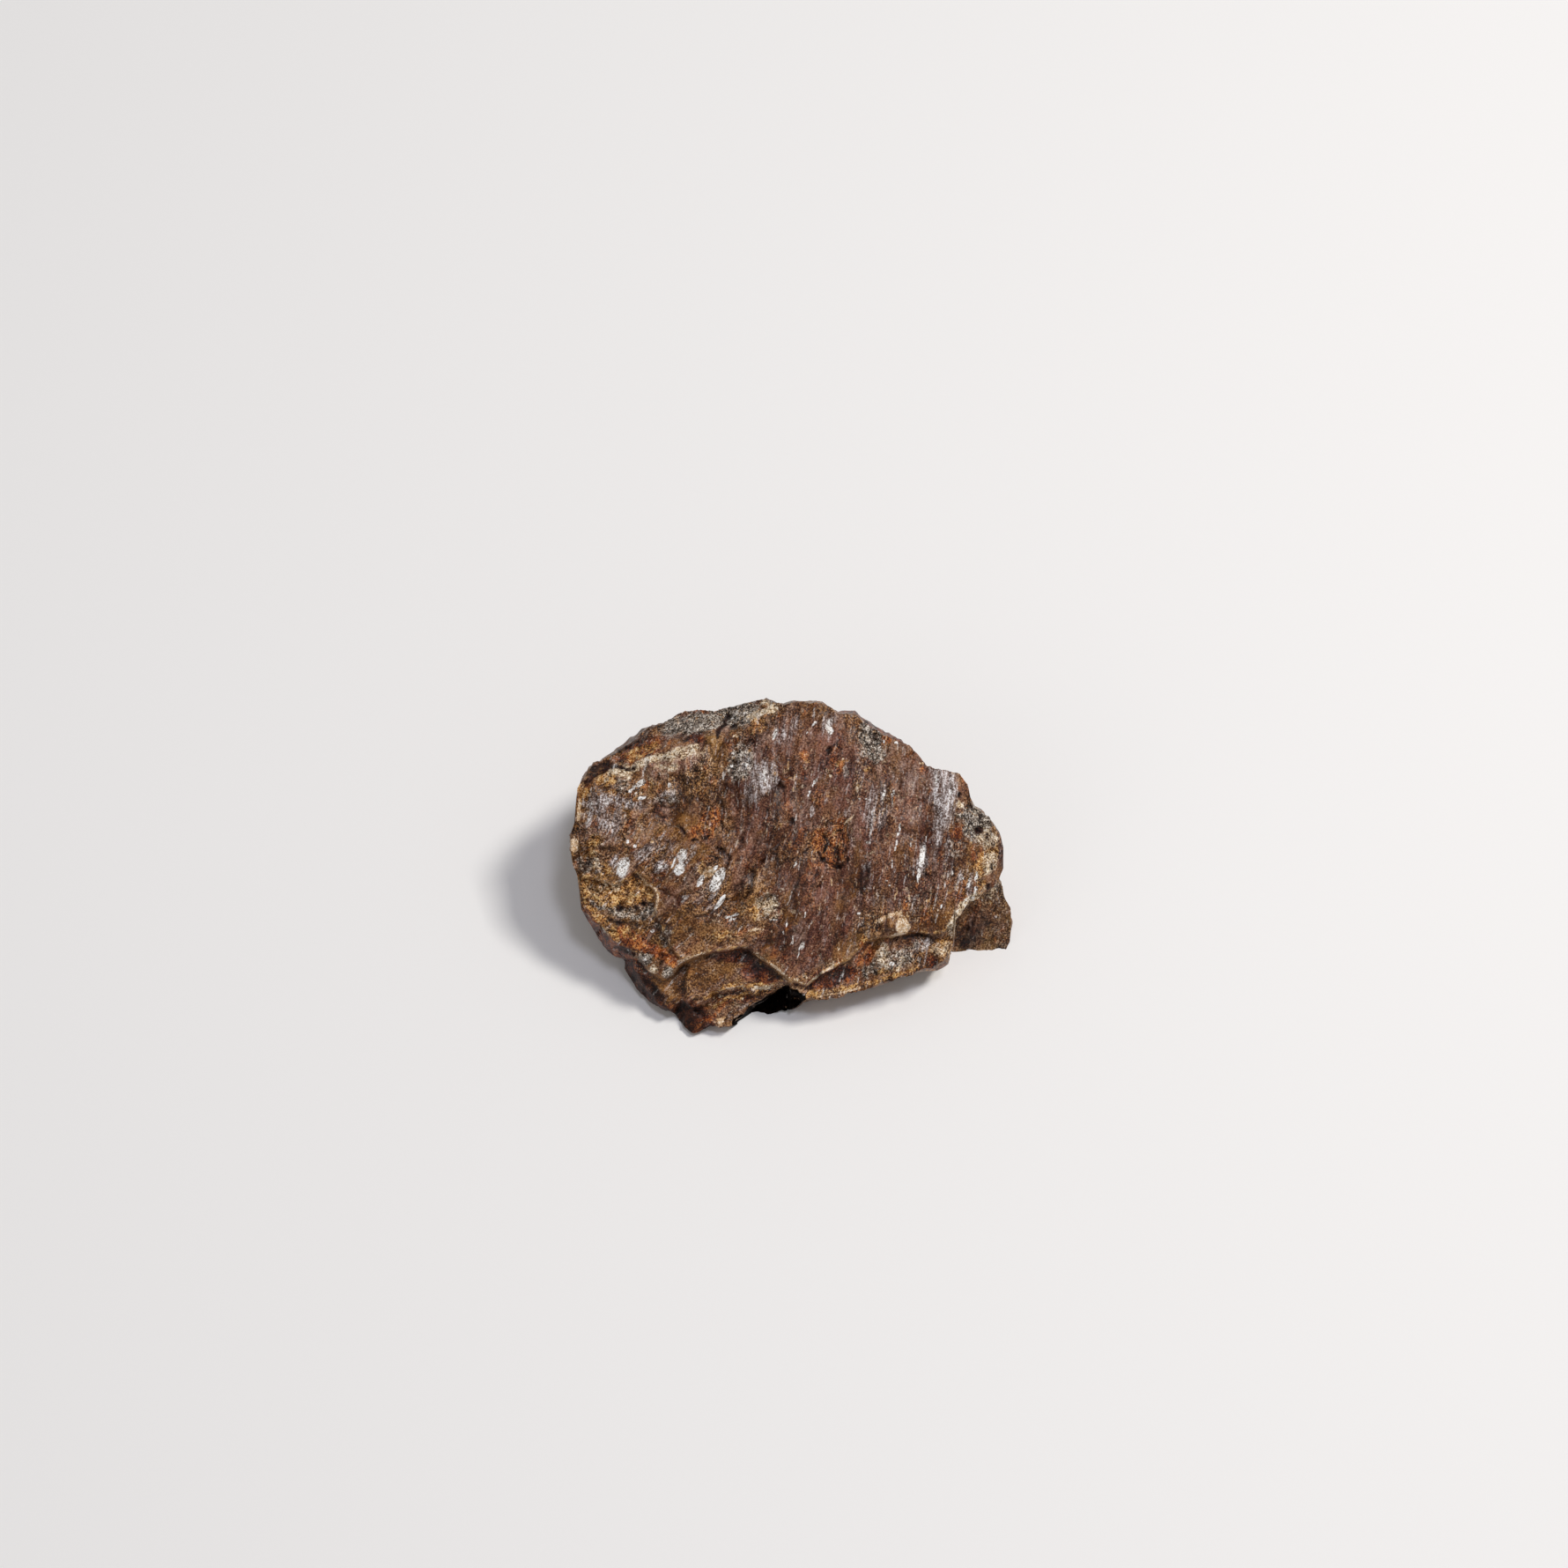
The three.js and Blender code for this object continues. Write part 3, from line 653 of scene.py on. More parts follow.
            (7.3, -6.6, 0.8, 2, 74, 0.65), (5.5, -7.5, 0.3, 0.5, 0, 0.8),
            (9.3, -5.5, 0.5, 0.9, 78, 0.6), (11.5, 1.1, 0.9, 0.8, 0, 0.4),
            (3.85, 6.65, 0.35, 0.35, 0, 0.6), (-3.5, -10.1, 0.3, 1, 60, 0.3),
        ),
        Streak(((-8.4, 9.8), (-7, 10.2), (-5.8, 10.1), (-4.4, 10.6), (-3.4, 11.1)), 0.7, 0.9),
        Streak(((-13.9, -2.4), (-12.2, -3.2), (-10.8, -3.5), (-9.9, -3.2)), 0.5, 0.75),
    ),
    Stain.OCHRE: (
        *patches(
            (-11.5, -4.7, 0.7, 0.4, 28, 0.7), (-10.6, 7.9, 0.5, 1.8, 62, 0.68),
            (-12.95, 6.05, 0.5, 0.85, 80), (-2.6, -3.1, 0.5, 0.5, 0, 0.8),
            (3.15, 2.15, 0.3, 0.45, 10, 0.8), (-9.9, -2.2, 0.35, 0.8, 0, 0.7),
            (-6.2, -0.2, 0.6, 0.7, 30, 0.5), (-12.5, 5, 0.35, 0.35, 0),
            (-14.45, 5.2, 0.45, 0.8, 0, 0.8), (-13.75, 1.45, 0.5, 0.8, 0, 0.9),
            (-13.4, -0.4, 0.8, 1.1, 60, 0.6), (-2.35, 9.85, 0.65, 0.85, 20, 0.7),
            (-4, -4.9, 0.4, 2, 85, 0.5), (-2.3, -3.2, 0.5, 0.9, 10, 0.6),
            (5.5, 6.75, 0.25, 0.4, 70, 0.8), (3.5, 7, 0.3, 0.6, 10, 0.6),
            (13.5, -1.1, 0.4, 0.7, 10, 0.8), (13.5, 0.2, 0.5, 1.2, 15, 0.7),
            (14.3, 1, 0.5, 0.8, 0, 0.8), (-2.6, -9.1, 0.4, 1.2, 70, 0.6),
            (6.5, -7.5, 0.2, 0.5, 80, 0.8), (10.7, -5.8, 0.8, 0.7, 0, 0.8),
            (5.2, -5.05, 0.3, 0.2, 0, 0.9), (9.7, -2.4, 0.2, 0.2, 0, 0.9),
            (-1.2, 6.6, 0.5, 0.5, 0, 0.3),
        ),
        Region(((-15.2, -0.6), (-13.6, -0.9), (-12.4, -1.1), (-11.3, -0.6), (-10.4, -1),
                (-9.8, -1.9), (-10.2, -2.5), (-11.8, -2.8), (-13.6, -2.5),
                (-14.8, -2.2)), 0.3, 0.9),
        Streak(((-13.3, -2.3), (-12.5, -2.5), (-11.8, -2.3)), 0.5),
        Streak(((-14.7, -1.6), (-14.2, -2.9), (-12.9, -4.2), (-12.4, -5)), 0.35, 0.8),
        Streak(PLATE_EDGE, 0.13, 0.55),
        Streak(((-5.9, -9.3), (-4.8, -8.6), (-3.7, -8.4), (-2.8, -8.5), (-1.8, -8.4),
                (-0.7, -8.05)), 0.18, 0.75),
        Streak(((-5.3, -9.9), (-4.3, -9.4), (-3, -9)), 0.18, 0.9),
        Streak(((0.9, -9.2), (2, -8.95), (3.4, -8.75), (5, -8.45), (7, -7.9),
                (9, -7.2)), 0.2, 0.7),
    ),
    Stain.SAND: (
        *patches(
            (-7.6, 7.7, 0.4, 1.3, 70, 0.6), (-6.2, 7.5, 0.7, 0.7, 0, 0.4),
            (-8.9, 6.9, 0.4, 1.2, 75, 0.5), (-11.6, 6.1, 0.35, 0.5, 60, 0.6),
            (-9.6, -7.3, 0.3, 0.3, 0, 0.9), (-1.65, -2.8, 0.9, 1, 10, 0.55),
            (13.9, 2, 0.8, 0.7, 30, 0.75), (14.2, 0.2, 0.5, 0.9, 10, 0.85),
            (11.95, 4.3, 0.35, 0.3, 0), (11.4, -4.6, 0.35, 0.6), (6.45, -6.2, 0.4, 0.7, 10, 0.9),
            (7.6, -6.9, 0.5, 1.4, 74, 0.4), (10.8, -5.8, 0.7, 0.6, 0, 0.6),
            (-5, -9.4, 0.3, 0.6, 60, 0.4), (-2.1, -8.6, 0.2, 0.6, 80, 0.8),
            (-12.6, -1.4, 0.5, 1.6, 80, 0.45), (-13.9, 0.2, 0.9, 0.8, 0, 0.35),
            (14.2, -1.9, 0.8, 0.8, 60, 0.4),
        ),
        Streak(((-12.6, 6.5), (-11.4, 6.75), (-10.4, 7.15), (-9.3, 7.6), (-8, 7.9),
                (-6.6, 8.2)), 0.3),
        Streak(((-1.8, 11.6), (-1, 11.1), (-2.8, 10.6)), 0.22, 0.9),
        Streak(((13.1, -2), (12.3, -2.8), (11.6, -3.6), (11.3, -4.2)), 0.25, 0.9),
    ),
    # Painted sheen: pale streaked patches where the striations would reflect the light.
    Stain.PAINTED_SHEEN: (
        *patches(
            (-8.6, 4.9, 0.5, 0.9, 75, 0.6), (-9.1, 0, 0.45, 0.8, 70, 0.8),
            (-10.2, 0.8, 0.5, 0.7, 60, 0.7), (-7, 0.9, 0.4, 0.6, 20, 0.5),
            (-11.9, 0, 0.8, 0.8, 30, 0.65), (-7.7, 0.2, 0.5, 0.9, 25, 0.6),
            (-5.2, -1.3, 0.7, 1.5, 35, 0.45), (-1.9, 6.1, 0.9, 1.2, 25, 0.95),
            (-2.6, 5, 0.7, 0.8, 40, 0.7), (-2.9, 3.4, 0.7, 1.2, 15, 0.35),
            (-3.2, 7.2, 0.5, 0.6, 20, 0.7), (-0.2, 9.6, 0.8, 1.5, 25, 0.4),
            (2.6, 9.9, 0.5, 0.8, 20, 0.6), (6.1, 4, 0.9, 1.5, 12, 0.6),
            (10.6, 2.4, 0.5, 1.2, 5, 0.6), (9.3, 0.6, 0.3, 1.2, 8, 0.9),
            (9.25, 3.85, 0.15, 0.5, 8, 0.7), (2.4, 4.6, 0.2, 0.4, 15, 0.6),
            (1.6, 3.8, 0.2, 0.4, 15, 0.6), (9.3, -5.5, 0.45, 0.9, 75, 0.5),
            (6.5, -1.6, 2, 2.4, 12, 0.2), (12.2, -1.3, 1, 1.3, 20, 0.35),
            (-9.3, 1, 2.4, 1.4, 40, 0.25), (11, 0.8, 0.8, 1.2, 10, 0.3),
        ),
        Region(((-14.2, 5), (-12.7, 4.9), (-10.9, 4.3), (-11.6, 3.2), (-12, 2.2), (-13.1, 2),
                (-14, 2.6), (-14.7, 3.6), (-14.4, 4.6)), 0.6, 0.7),
        Streak(((-14.3, 4.3), (-13.2, 4.6), (-12.2, 4.6), (-10.6, 4.3)), 0.4, 0.9),
        Region(((10, 2.6), (10, 6.8), (10.9, 6.9), (11.7, 6.3), (11.6, 3.3), (11, 2.4)), 0.25),
    ),
    Stain.CREAM: (
        *patches(
            (-5.9, -0.5, 0.25, 0.5, 40, 0.7), (-15.1, 1.45, 0.3, 0.5, 0),
            (-14.8, 3.9, 0.15, 0.9, 0, 0.7), (-5.5, -0.35, 0.3, 0.35, 40),
            (-3.8, 9.1, 0.2, 0.12, 0, 0.9), (4.75, 5.5, 0.15, 0.35, 20, 0.8),
            (2.85, 6.3, 0.1, 0.12, 0, 0.9), (3.7, 7.5, 0.1, 0.12, 0, 0.9),
            (-9.65, 1.7, 0.15, 0.15, 0, 0.9), (9.25, 7.2, 0.2, 0.12, 0, 0.8),
            (-2.5, -4.45, 0.1, 0.5, 80, 0.8), (-12.9, 6.1, 0.2, 0.2, 0, 0.8),
            (11.5, -4.9, 0.15, 0.3, 0, 0.9),
        ),
        Streak(((6.1, -3.9), (7, -3.45), (7.7, -3.3), (8.1, -3.8), (8.35, -4.3), (8, -4.6),
                (7.1, -5)), 0.14, 0.8),
        Region(((7.55, -3.55), (8.45, -4.1), (8.15, -4.7), (7.75, -4.95), (7.45, -4.45)), 0.1),
        Streak(((-10.7, -0.5), (-10.1, -1.2), (-9.4, -1.6), (-9.25, -1.9), (-9.4, -2.9),
                (-9.7, -3.6)), 0.08, 0.7),
        Streak(((-7.8, -6.7), (-7, -6.4), (-6, -6.1)), 0.07, 0.7),
        Streak(((-2.6, -6), (-1.8, -6.6), (-0.9, -7.2), (-0.1, -7.7), (0.2, -7.9), (1.1, -8.3),
                (2.2, -7.5), (3, -6.95), (3.5, -6.8)), 0.06, 0.62),
        Streak(((1.3, -8.2), (2.2, -7.55), (3, -7.05)), 0.09, 0.9),
        Streak(((-1.2, -7), (-0.4, -7.55)), 0.09, 0.85),
        Streak(((2, -9.2), (3.4, -9), (5, -8.6)), 0.1, 0.6),
        Streak(((3.9, 3.05), (4.45, 3.5)), 0.07),
        Streak(((-0.1, 7.3), (-0.1, 6.8)), 0.05, 0.8),
        Streak(((0.3, 6.4), (0.2, 5.3)), 0.05, 0.8),
        Region(((-5.3, -10.75), (-4.5, -10.7), (-4.85, -11.4)), 0.12, 0.75),
        Streak(((3.4, -5), (3.4, -6.6)), 0.08, 0.5),
        Streak(((2.95, -0.9), (2.9, -1.4)), 0.05, 0.9),
        Streak(((7.5, -1.5), (7.4, -2.3)), 0.06),
        Streak(((8.4, -2), (8.35, -2.3)), 0.06),
    ),
    # Dark cracks and smears; painted shade in the large patches at the tip and on the lower left
    # wall, and in the streaks down the lower left wall and along the bevel's edge. The patches low
    # on the lump make it darker towards its bottom.
    Stain.DARK_AND_SHADE: (
        *patches(
            (-7.2, -10.7, 1.5, 1.1, 30, 0.95), (-10.2, -8.6, 2.2, 0.7, 45, 0.8),
            (3, -7.8, 0.45, 1.8, 76, 0.6), (2.5, 1.3, 0.12, 0.5, 30, 0.9),
            (3.4, 2.4, 0.1, 0.4, 60, 0.9), (2.2, 2.3, 0.3, 0.1, 30, 0.8),
            (-13.3, 6.85, 0.5, 1, 70, 0.9), (-11.5, 8.4, 0.4, 1.4, 60, 0.5),
            (-6.3, 9.3, 0.15, 0.3, 60, 0.8), (-7.6, 9.2, 0.15, 0.4, 60, 0.8),
            (-3.4, 10.1, 0.3, 0.15, 30, 0.8), (-4.4, 10.5, 0.25, 0.2, 0, 0.9),
            (-4, 9.8, 0.25, 0.2, 0, 0.9), (-3.95, 6.9, 0.3, 0.6, 10, 0.6),
            (-4.7, 3.9, 0.2, 0.5, 10, 0.8), (-5, 4.7, 0.2, 0.4, 10, 0.7),
            (0.1, 3.1, 0.2, 0.3, 0, 0.8), (2.8, 8.2, 0.22, 0.18, 0), (3.4, 0, 0.1, 0.5, 80),
            (3.2, 0.7, 0.4, 0.6, 10, 0.45), (4, 0.5, 0.12, 0.25, 0, 0.9),
            (2.4, 0.5, 0.12, 0.25, 0, 0.9), (5.2, -0.9, 0.5, 1.2, 12, 0.5),
            (6.6, 2.6, 0.4, 1.4, 10, 0.4), (-1.4, -5.8, 1.1, 2.4, 80, 0.4),
            (6.9, -2.6, 0.5, 0.8, 10, 0.5), (-3.4, 1.6, 0.3, 1, 16, 0.4),
            (-3.6, -1.6, 0.3, 0.8, 24, 0.4), (11.9, 5, 0.2, 0.25, 0, 0.9),
            (13.3, 2.6, 0.35, 0.3, 0), (13.5, 3.4, 0.2, 0.2, 0, 0.9),
            (12.6, 4.2, 0.2, 0.2, 0, 0.9), (14.1, 3.9, 0.2, 0.25, 0, 0.8),
            (12.9, 0.1, 0.2, 0.3, 0, 0.7), (14.3, -0.1, 0.2, 0.3, 0, 0.8),
            (14.05, -1.5, 0.2, 0.25, 0, 0.8), (11.75, -4.1, 0.12, 0.25, 20),
            (12.2, -3.2, 0.12, 0.25, 20, 0.9), (-10.3, -2.7, 0.2, 0.2, 0, 0.9),
            (-12, -3.1, 0.2, 0.3, 60, 0.9), (-10.9, -3, 0.2, 0.2, 0, 0.9),
            (-8.6, -4.6, 0.3, 0.9, 20, 0.5), (0.6, -1.6, 0.5, 1.4, 14, 0.35),
            (5.4, -7.4, 0.2, 0.3, 0, 0.7), (-14.2, -0.2, 0.4, 0.3, 0, 0.5),
            (-10.2, -4.2, 0.8, 1.4, 70, 0.4), (-7, 9, 0.15, 0.9, 75, 0.6),
            (12.6, -5.2, 1, 1, 0, 0.75), (14.3, -4.2, 0.12, 0.35, 70, 0.9),
            (13.9, -3.2, 0.2, 0.6, 60, 0.6), (13.6, -4.4, 0.9, 0.9, 0, 0.5),
        ),
        Streak(((-11.6, -7.7), (-10.6, -8.8), (-9.2, -10), (-8.2, -10.9)), 0.4, 0.75),
        Streak(((1.9, 1), (2.3, 0.4), (3.1, 0.05), (3.9, 0.3)), 0.09, 0.9),
        Streak(((2, 2.8), (2.6, 3.1), (3.3, 2.95)), 0.08, 0.7),
        Streak(((2.3, 2.3), (2.8, 1.5), (3.3, 1.2)), 0.09, 0.8),
        Streak(((3.6, 2.3), (3.9, 1.4), (3.8, 0.9)), 0.08, 0.8),
        Streak(((-14.2, 6), (-13.3, 6.5), (-12.3, 6.9), (-11.5, 6.75), (-10.9, 6.9)), 0.14),
        Streak(((-9.1, 4.2), (-8.6, 4.05), (-8.2, 4.2)), 0.08, 0.7),
        Streak(((-4.5, 10.6), (-4.75, 10.2), (-4.6, 9.9), (-5, 9.6), (-5.05, 9.1)), 0.14),
        Streak(((-7.95, 2.8), (-7.65, 2.7), (-7.3, 2.2)), 0.13, 0.9),
        Streak(((-6.95, 1.75), (-6.6, 1.85), (-6.2, 1.5)), 0.07, 0.9),
        Streak(((-5.6, 0.75), (-5.3, 0.7), (-4.95, 0.3)), 0.06, 0.9),
        Streak(((-4.7, 4.6), (-4.9, 3.6), (-4.7, 2.6)), 0.09, 0.9),
        Streak(((-6.5, 2.2), (-6, 1.9), (-5.6, 2.2)), 0.06, 0.8),
        Streak(((-9.6, 3.8), (-8.9, 3.3), (-8.5, 3.35)), 0.08, 0.6),
        Streak(((8, -5.05), (9, -4.85), (10, -4.95)), 0.1, 0.6),
        Streak(((-12.4, -5.8), (-11.7, -5.9), (-11, -6.2)), 0.2, 0.9),
        Streak(((-12.6, -3.9), (-11.9, -4.2), (-11, -4), (-10.2, -4.4)), 0.18, 0.7),
    ),
    # Painted shadow: black in the hollow under the ledges, where the stone lies in deep shade.
    Stain.PAINTED_SHADOW: (
        Region(((0.8, -8.95), (-0.1, -8.45), (-0.8, -8.7), (-1.6, -9.2), (-2.4, -9.75),
                (-3.2, -10.4), (-3.9, -10.9), (-4.4, -12), (3, -13), (1.7, -9.9),
                (1.2, -9.6)), 0.2),
    ),
    # Painted highlights: near white patches and flecks where small facets catch the light; the
    # relief tilts the larger ones toward the window light.
    Stain.PAINTED_GLINT: (
        *patches(
            (-10.5, 5.8, 0.2, 0.42, 62, 0.9), (-10.95, 5.45, 0.12, 0.22, 40, 0.8),
            (-10.35, 4.8, 0.12, 0.28, 80), (-11.1, 5.3, 0.12, 0.14), (-8.5, 5.7, 0.12, 0.14),
            (-13.6, 4.5, 0.25, 0.6, 70, 0.4), (-14.15, 3.7, 0.22, 0.3, 0, 0.5),
            (-11.7, -0.1, 0.4, 0.8, 20, 0.75), (-11.4, 1.7, 0.12, 0.14), (-10.8, 1.4, 0.1, 0.12),
            (-7.55, 0.75, 0.32, 0.5, 25, 0.95), (-7.75, -0.2, 0.34, 0.5, 25, 0.95),
            (-8.15, 0.25, 0.1, 0.5, 25, 0.7), (-8.95, 0, 0.08, 0.35, 70, 0.7),
            (-1.75, 6.3, 0.45, 0.7, 25, 0.45), (-3, 7.2, 0.2, 0.3, 20, 0.8), (-4, 7.9, 0.1, 0.12),
            (-4.1, 7, 0.1, 0.12), (-1.1, 9.2, 0.18, 0.5, 25, 0.5), (-5.05, -0.95, 0.34, 0.95, 30),
            (-6.2, -1, 0.22, 0.45, 30, 0.8), (-5.2, -0.1, 0.14, 0.18, 30, 0.9),
            (-4.9, -2.5, 0.2, 0.7, 38, 0.7), (0.4, 0.1, 0.06, 0.25, 12, 0.9),
            (1.05, -3.4, 0.07, 0.2, 12, 0.9), (0.85, -5.55, 0.16, 0.24),
            (-0.2, -4.1, 0.06, 0.18, 10, 0.8), (-0.4, -4.6, 0.06, 0.18, 10, 0.8),
            (2.65, 9.9, 0.28, 0.6, 20, 0.45), (2.85, 9.5, 0.18, 0.3, 20, 0.7),
            (1.7, 10, 0.07, 0.25, 40, 0.9), (1.2, 9.3, 0.07, 0.14, 30, 0.8),
            (6.65, 8.75, 0.07, 0.12, 0, 0.9), (7.4, 8.65, 0.07, 0.12, 0, 0.9),
            (4.9, 4.7, 0.07, 0.12, 0, 0.8), (5.4, 4.7, 0.07, 0.12, 0, 0.8),
            (1.75, 5.9, 0.07, 0.4, 24, 0.7), (1.4, 5.1, 0.06, 0.3, 24, 0.6),
            (6.55, 4.95, 0.08, 0.4, 8, 0.9), (7.2, 4.8, 0.07, 0.6, 8, 0.8),
            (6.3, 3.9, 0.6, 1.2, 15, 0.3), (2.9, 3.4, 0.09, 0.1, 0, 0.9),
            (5.45, 1.7, 0.09, 0.1, 0, 0.9), (7.7, 2.65, 0.05, 0.5, 6, 0.8),
            (7.45, 1.5, 0.05, 0.4, 6, 0.8), (7.2, 0.2, 0.07, 0.4, 6),
            (8.5, 1.8, 0.05, 0.6, 6, 0.7), (10.3, 5.4, 0.16, 1.2, 3, 0.45),
            (10.95, 4.8, 0.45, 1.3, 5, 0.36), (9.3, 0.75, 0.2, 0.8), (9, -0.7, 0.14, 0.6, 8, 0.7),
            (9.55, 1.9, 0.07, 0.4, 8, 0.7), (12.6, -1.2, 0.08, 0.35), (13.15, -0.7, 0.08, 0.3),
            (11.45, -0.5, 0.09, 0.14, 0), (12.1, -0.9, 0.09, 0.14, 0), (13.1, -1.6, 0.09, 0.14, 0),
            (12.4, -2.4, 0.08, 0.12, 0, 0.9), (12.9, -2.2, 0.08, 0.12, 0, 0.9),
            (10.6, -2.8, 0.08, 0.12, 0, 0.9), (6.75, -1, 0.07, 0.1, 0, 0.9),
            (7, -1.3, 0.07, 0.1, 0, 0.9), (8.15, -2.5, 0.07, 0.1, 0, 0.9),
            (4.85, -3.3, 0.07, 0.1, 0, 0.9), (7.15, -6.9, 0.12, 0.14, 0),
            (-9.7, -4.6, 0.14, 0.12, 0), (-10.2, -6.6, 0.1, 0.1, 0, 0.9),
        ),
        Streak(((-4.5, -3.6), (-3.7, -3.4)), 0.09),
        Streak(((-4.4, -3.8), (-3.9, -3.7)), 0.06, 0.8),
        Streak(((-1.35, -3.75), (-0.85, -3.75)), 0.08),
        Streak(((0.2, -4.9), (0.12, -5.4)), 0.07, 0.9),
        Streak(((0.65, -5.7), (0.55, -6.5)), 0.06, 0.7),
    ),
    Stain.MATRIX: (),
}

EVERYWHERE: dict[Stain, float] = {  # stains that show over the whole stone
    Stain.PLUM_AND_SHADE: 0.34, Stain.TAN: 0.42, Stain.PALE_AND_SHEEN: 0.12, Stain.AMBER: 0.12, Stain.LIVER_AND_SHADE: 0.14,
}

# Among them are flecks of painted highlight and painted sheen.
FLECKS: dict[Stain, float] = {  # stains that show as flecks where the stone is rugged
    Stain.RUST: 0.34, Stain.OCHRE: 0.14, Stain.PAINTED_SHEEN: 0.06, Stain.CREAM: 0.2, Stain.DARK_AND_SHADE: 0.22,
    Stain.PAINTED_GLINT: 0.05,
}

WALL_VEINS: dict[Stain, tuple[float, float]] = {  # cover and size in mm of veins on broken sides
    Stain.LIVER_AND_SHADE: (0.85, 5.0), Stain.METAL: (0.6, 4.5), Stain.OCHRE: (0.5, 3.6),
    Stain.TAN: (0.5, 4.0), Stain.SAND: (0.4, 3.0),
}

ON_LUMP = (Stain.DARK_AND_SHADE, Stain.SAND)  # stains whose places on the face reach over the lump too
GRANULAR: dict[Stain, float] = {Stain.METAL: 1.0, Stain.OCHRE: 0.8, Stain.SAND: 0.8}
GLASSY: dict[Stain, float] = {Stain.AMBER: 1.0, Stain.LIVER_AND_SHADE: 0.6}

WAVER_U = Bumps(0.3, 1.1, 1.1, 11.0, 4, 0.6)  # the stains' edges wander by these
WAVER_V = Bumps(0.3, 1.1, 1.1, 12.0, 4, 0.6)
CRISP = (Stain.PAINTED_GLINT, Stain.CREAM)  # but theirs wander less, and fade out within a thin rim
CRISP_WAVER = 0.3
CRISP_EDGE: Span = (0.15, 0.75)

# Where the split face is flaky; elsewhere it is smooth satin.
RUGGED: tuple[Patch, ...] = patches(
    (2.9, 1.7, 1.6, 2), (3, 7.3, 0.7, 1.2, 20, 0.9), (4.8, 5.6, 0.6, 0.8, 20, 0.9),
    (2.1, 5, 0.6, 1, 20, 0.7), (6.2, 3.6, 0.5, 1, 20, 0.8), (10.2, -0.8, 1.4, 1.4, 10, 0.9),
    (9, -2.8, 1.2, 1.8, 60), (12.6, -1.4, 1.2, 1.6, 20), (5.6, -3.9, 1, 1.4, 60, 0.7),
    (-1.7, -3.2, 1.4, 1, 20, 0.9), (-4.4, -3.6, 0.6, 1.6, 80, 0.8),
    (-3.8, -4.9, 0.6, 2.4, 85, 0.8), (-5.4, 3.2, 1.2, 1.4, 30, 0.9), (-6.2, 6.2, 1.6, 1.4, 20),
    (-9.6, 5.4, 1, 2.2, 70, 0.9), (-11, 2.8, 0.8, 1, 20, 0.9), (-6.4, -0.5, 1.8, 1.4, 50, 0.9),
    (-9.4, 0.4, 0.8, 1.6, 60, 0.7), (-13.6, 0.4, 1.2, 2.4, 0, 0.8), (-2.6, 9.4, 1, 1.8, 20, 0.9),
    (1, 7.4, 0.8, 1.2, 10, 0.6), (3.2, -7.2, 0.6, 2.4, 70, 0.6), (-3, -9, 0.7, 2.4, 70, 0.8),
    (-1, 3.6, 0.9, 0.9, 10, 0.6),
)


def stain_masks(u: Array, v: Array) -> Masks:
    """Cover of each stain at places on the face.

    Args:
        u: first coordinates of the places.
        v: second coordinates.

    Returns:
        For each stain, its cover from 0 to 1.
    """
    du, dv = WAVER_U.over(u, v), WAVER_V.over(u, v)
    masks = {}
    for stain, spots in STAINS.items():
        crisp = stain in CRISP
        waver = CRISP_WAVER if crisp else 1.0
        at_u, at_v = u + waver * du, v + waver * dv
        cover = np.zeros(np.shape(u))
        for spot in spots:
            cover = np.maximum(cover, spot.cover(at_u, at_v))
        masks[stain] = smooth(*CRISP_EDGE, cover) if crisp else cover
    return masks


# ---------------------------------------------------------------------------------------------
# The split face, with everything that is too fine for the CAD solid
# ---------------------------------------------------------------------------------------------


@dataclass(frozen=True)
class Fading:
    """Share of a relief that is lost in each kind of place; below 0, it is stronger there."""

    granular: float = 0.0
    glassy: float = 0.0
    under_painted_sheen: float = 0.0
    calm: float = 0.0

    def left(self, kinds: dict[str, Array]) -> Array:
        """Share of the relief that is left.

        Args:
            kinds: how granular, glassy, under the painted sheen and calm each place is, from 0 to
                1.

        Returns:
            The share.
        """
        return math.prod(1 - getattr(self, kind) * amount for kind, amount in kinds.items())


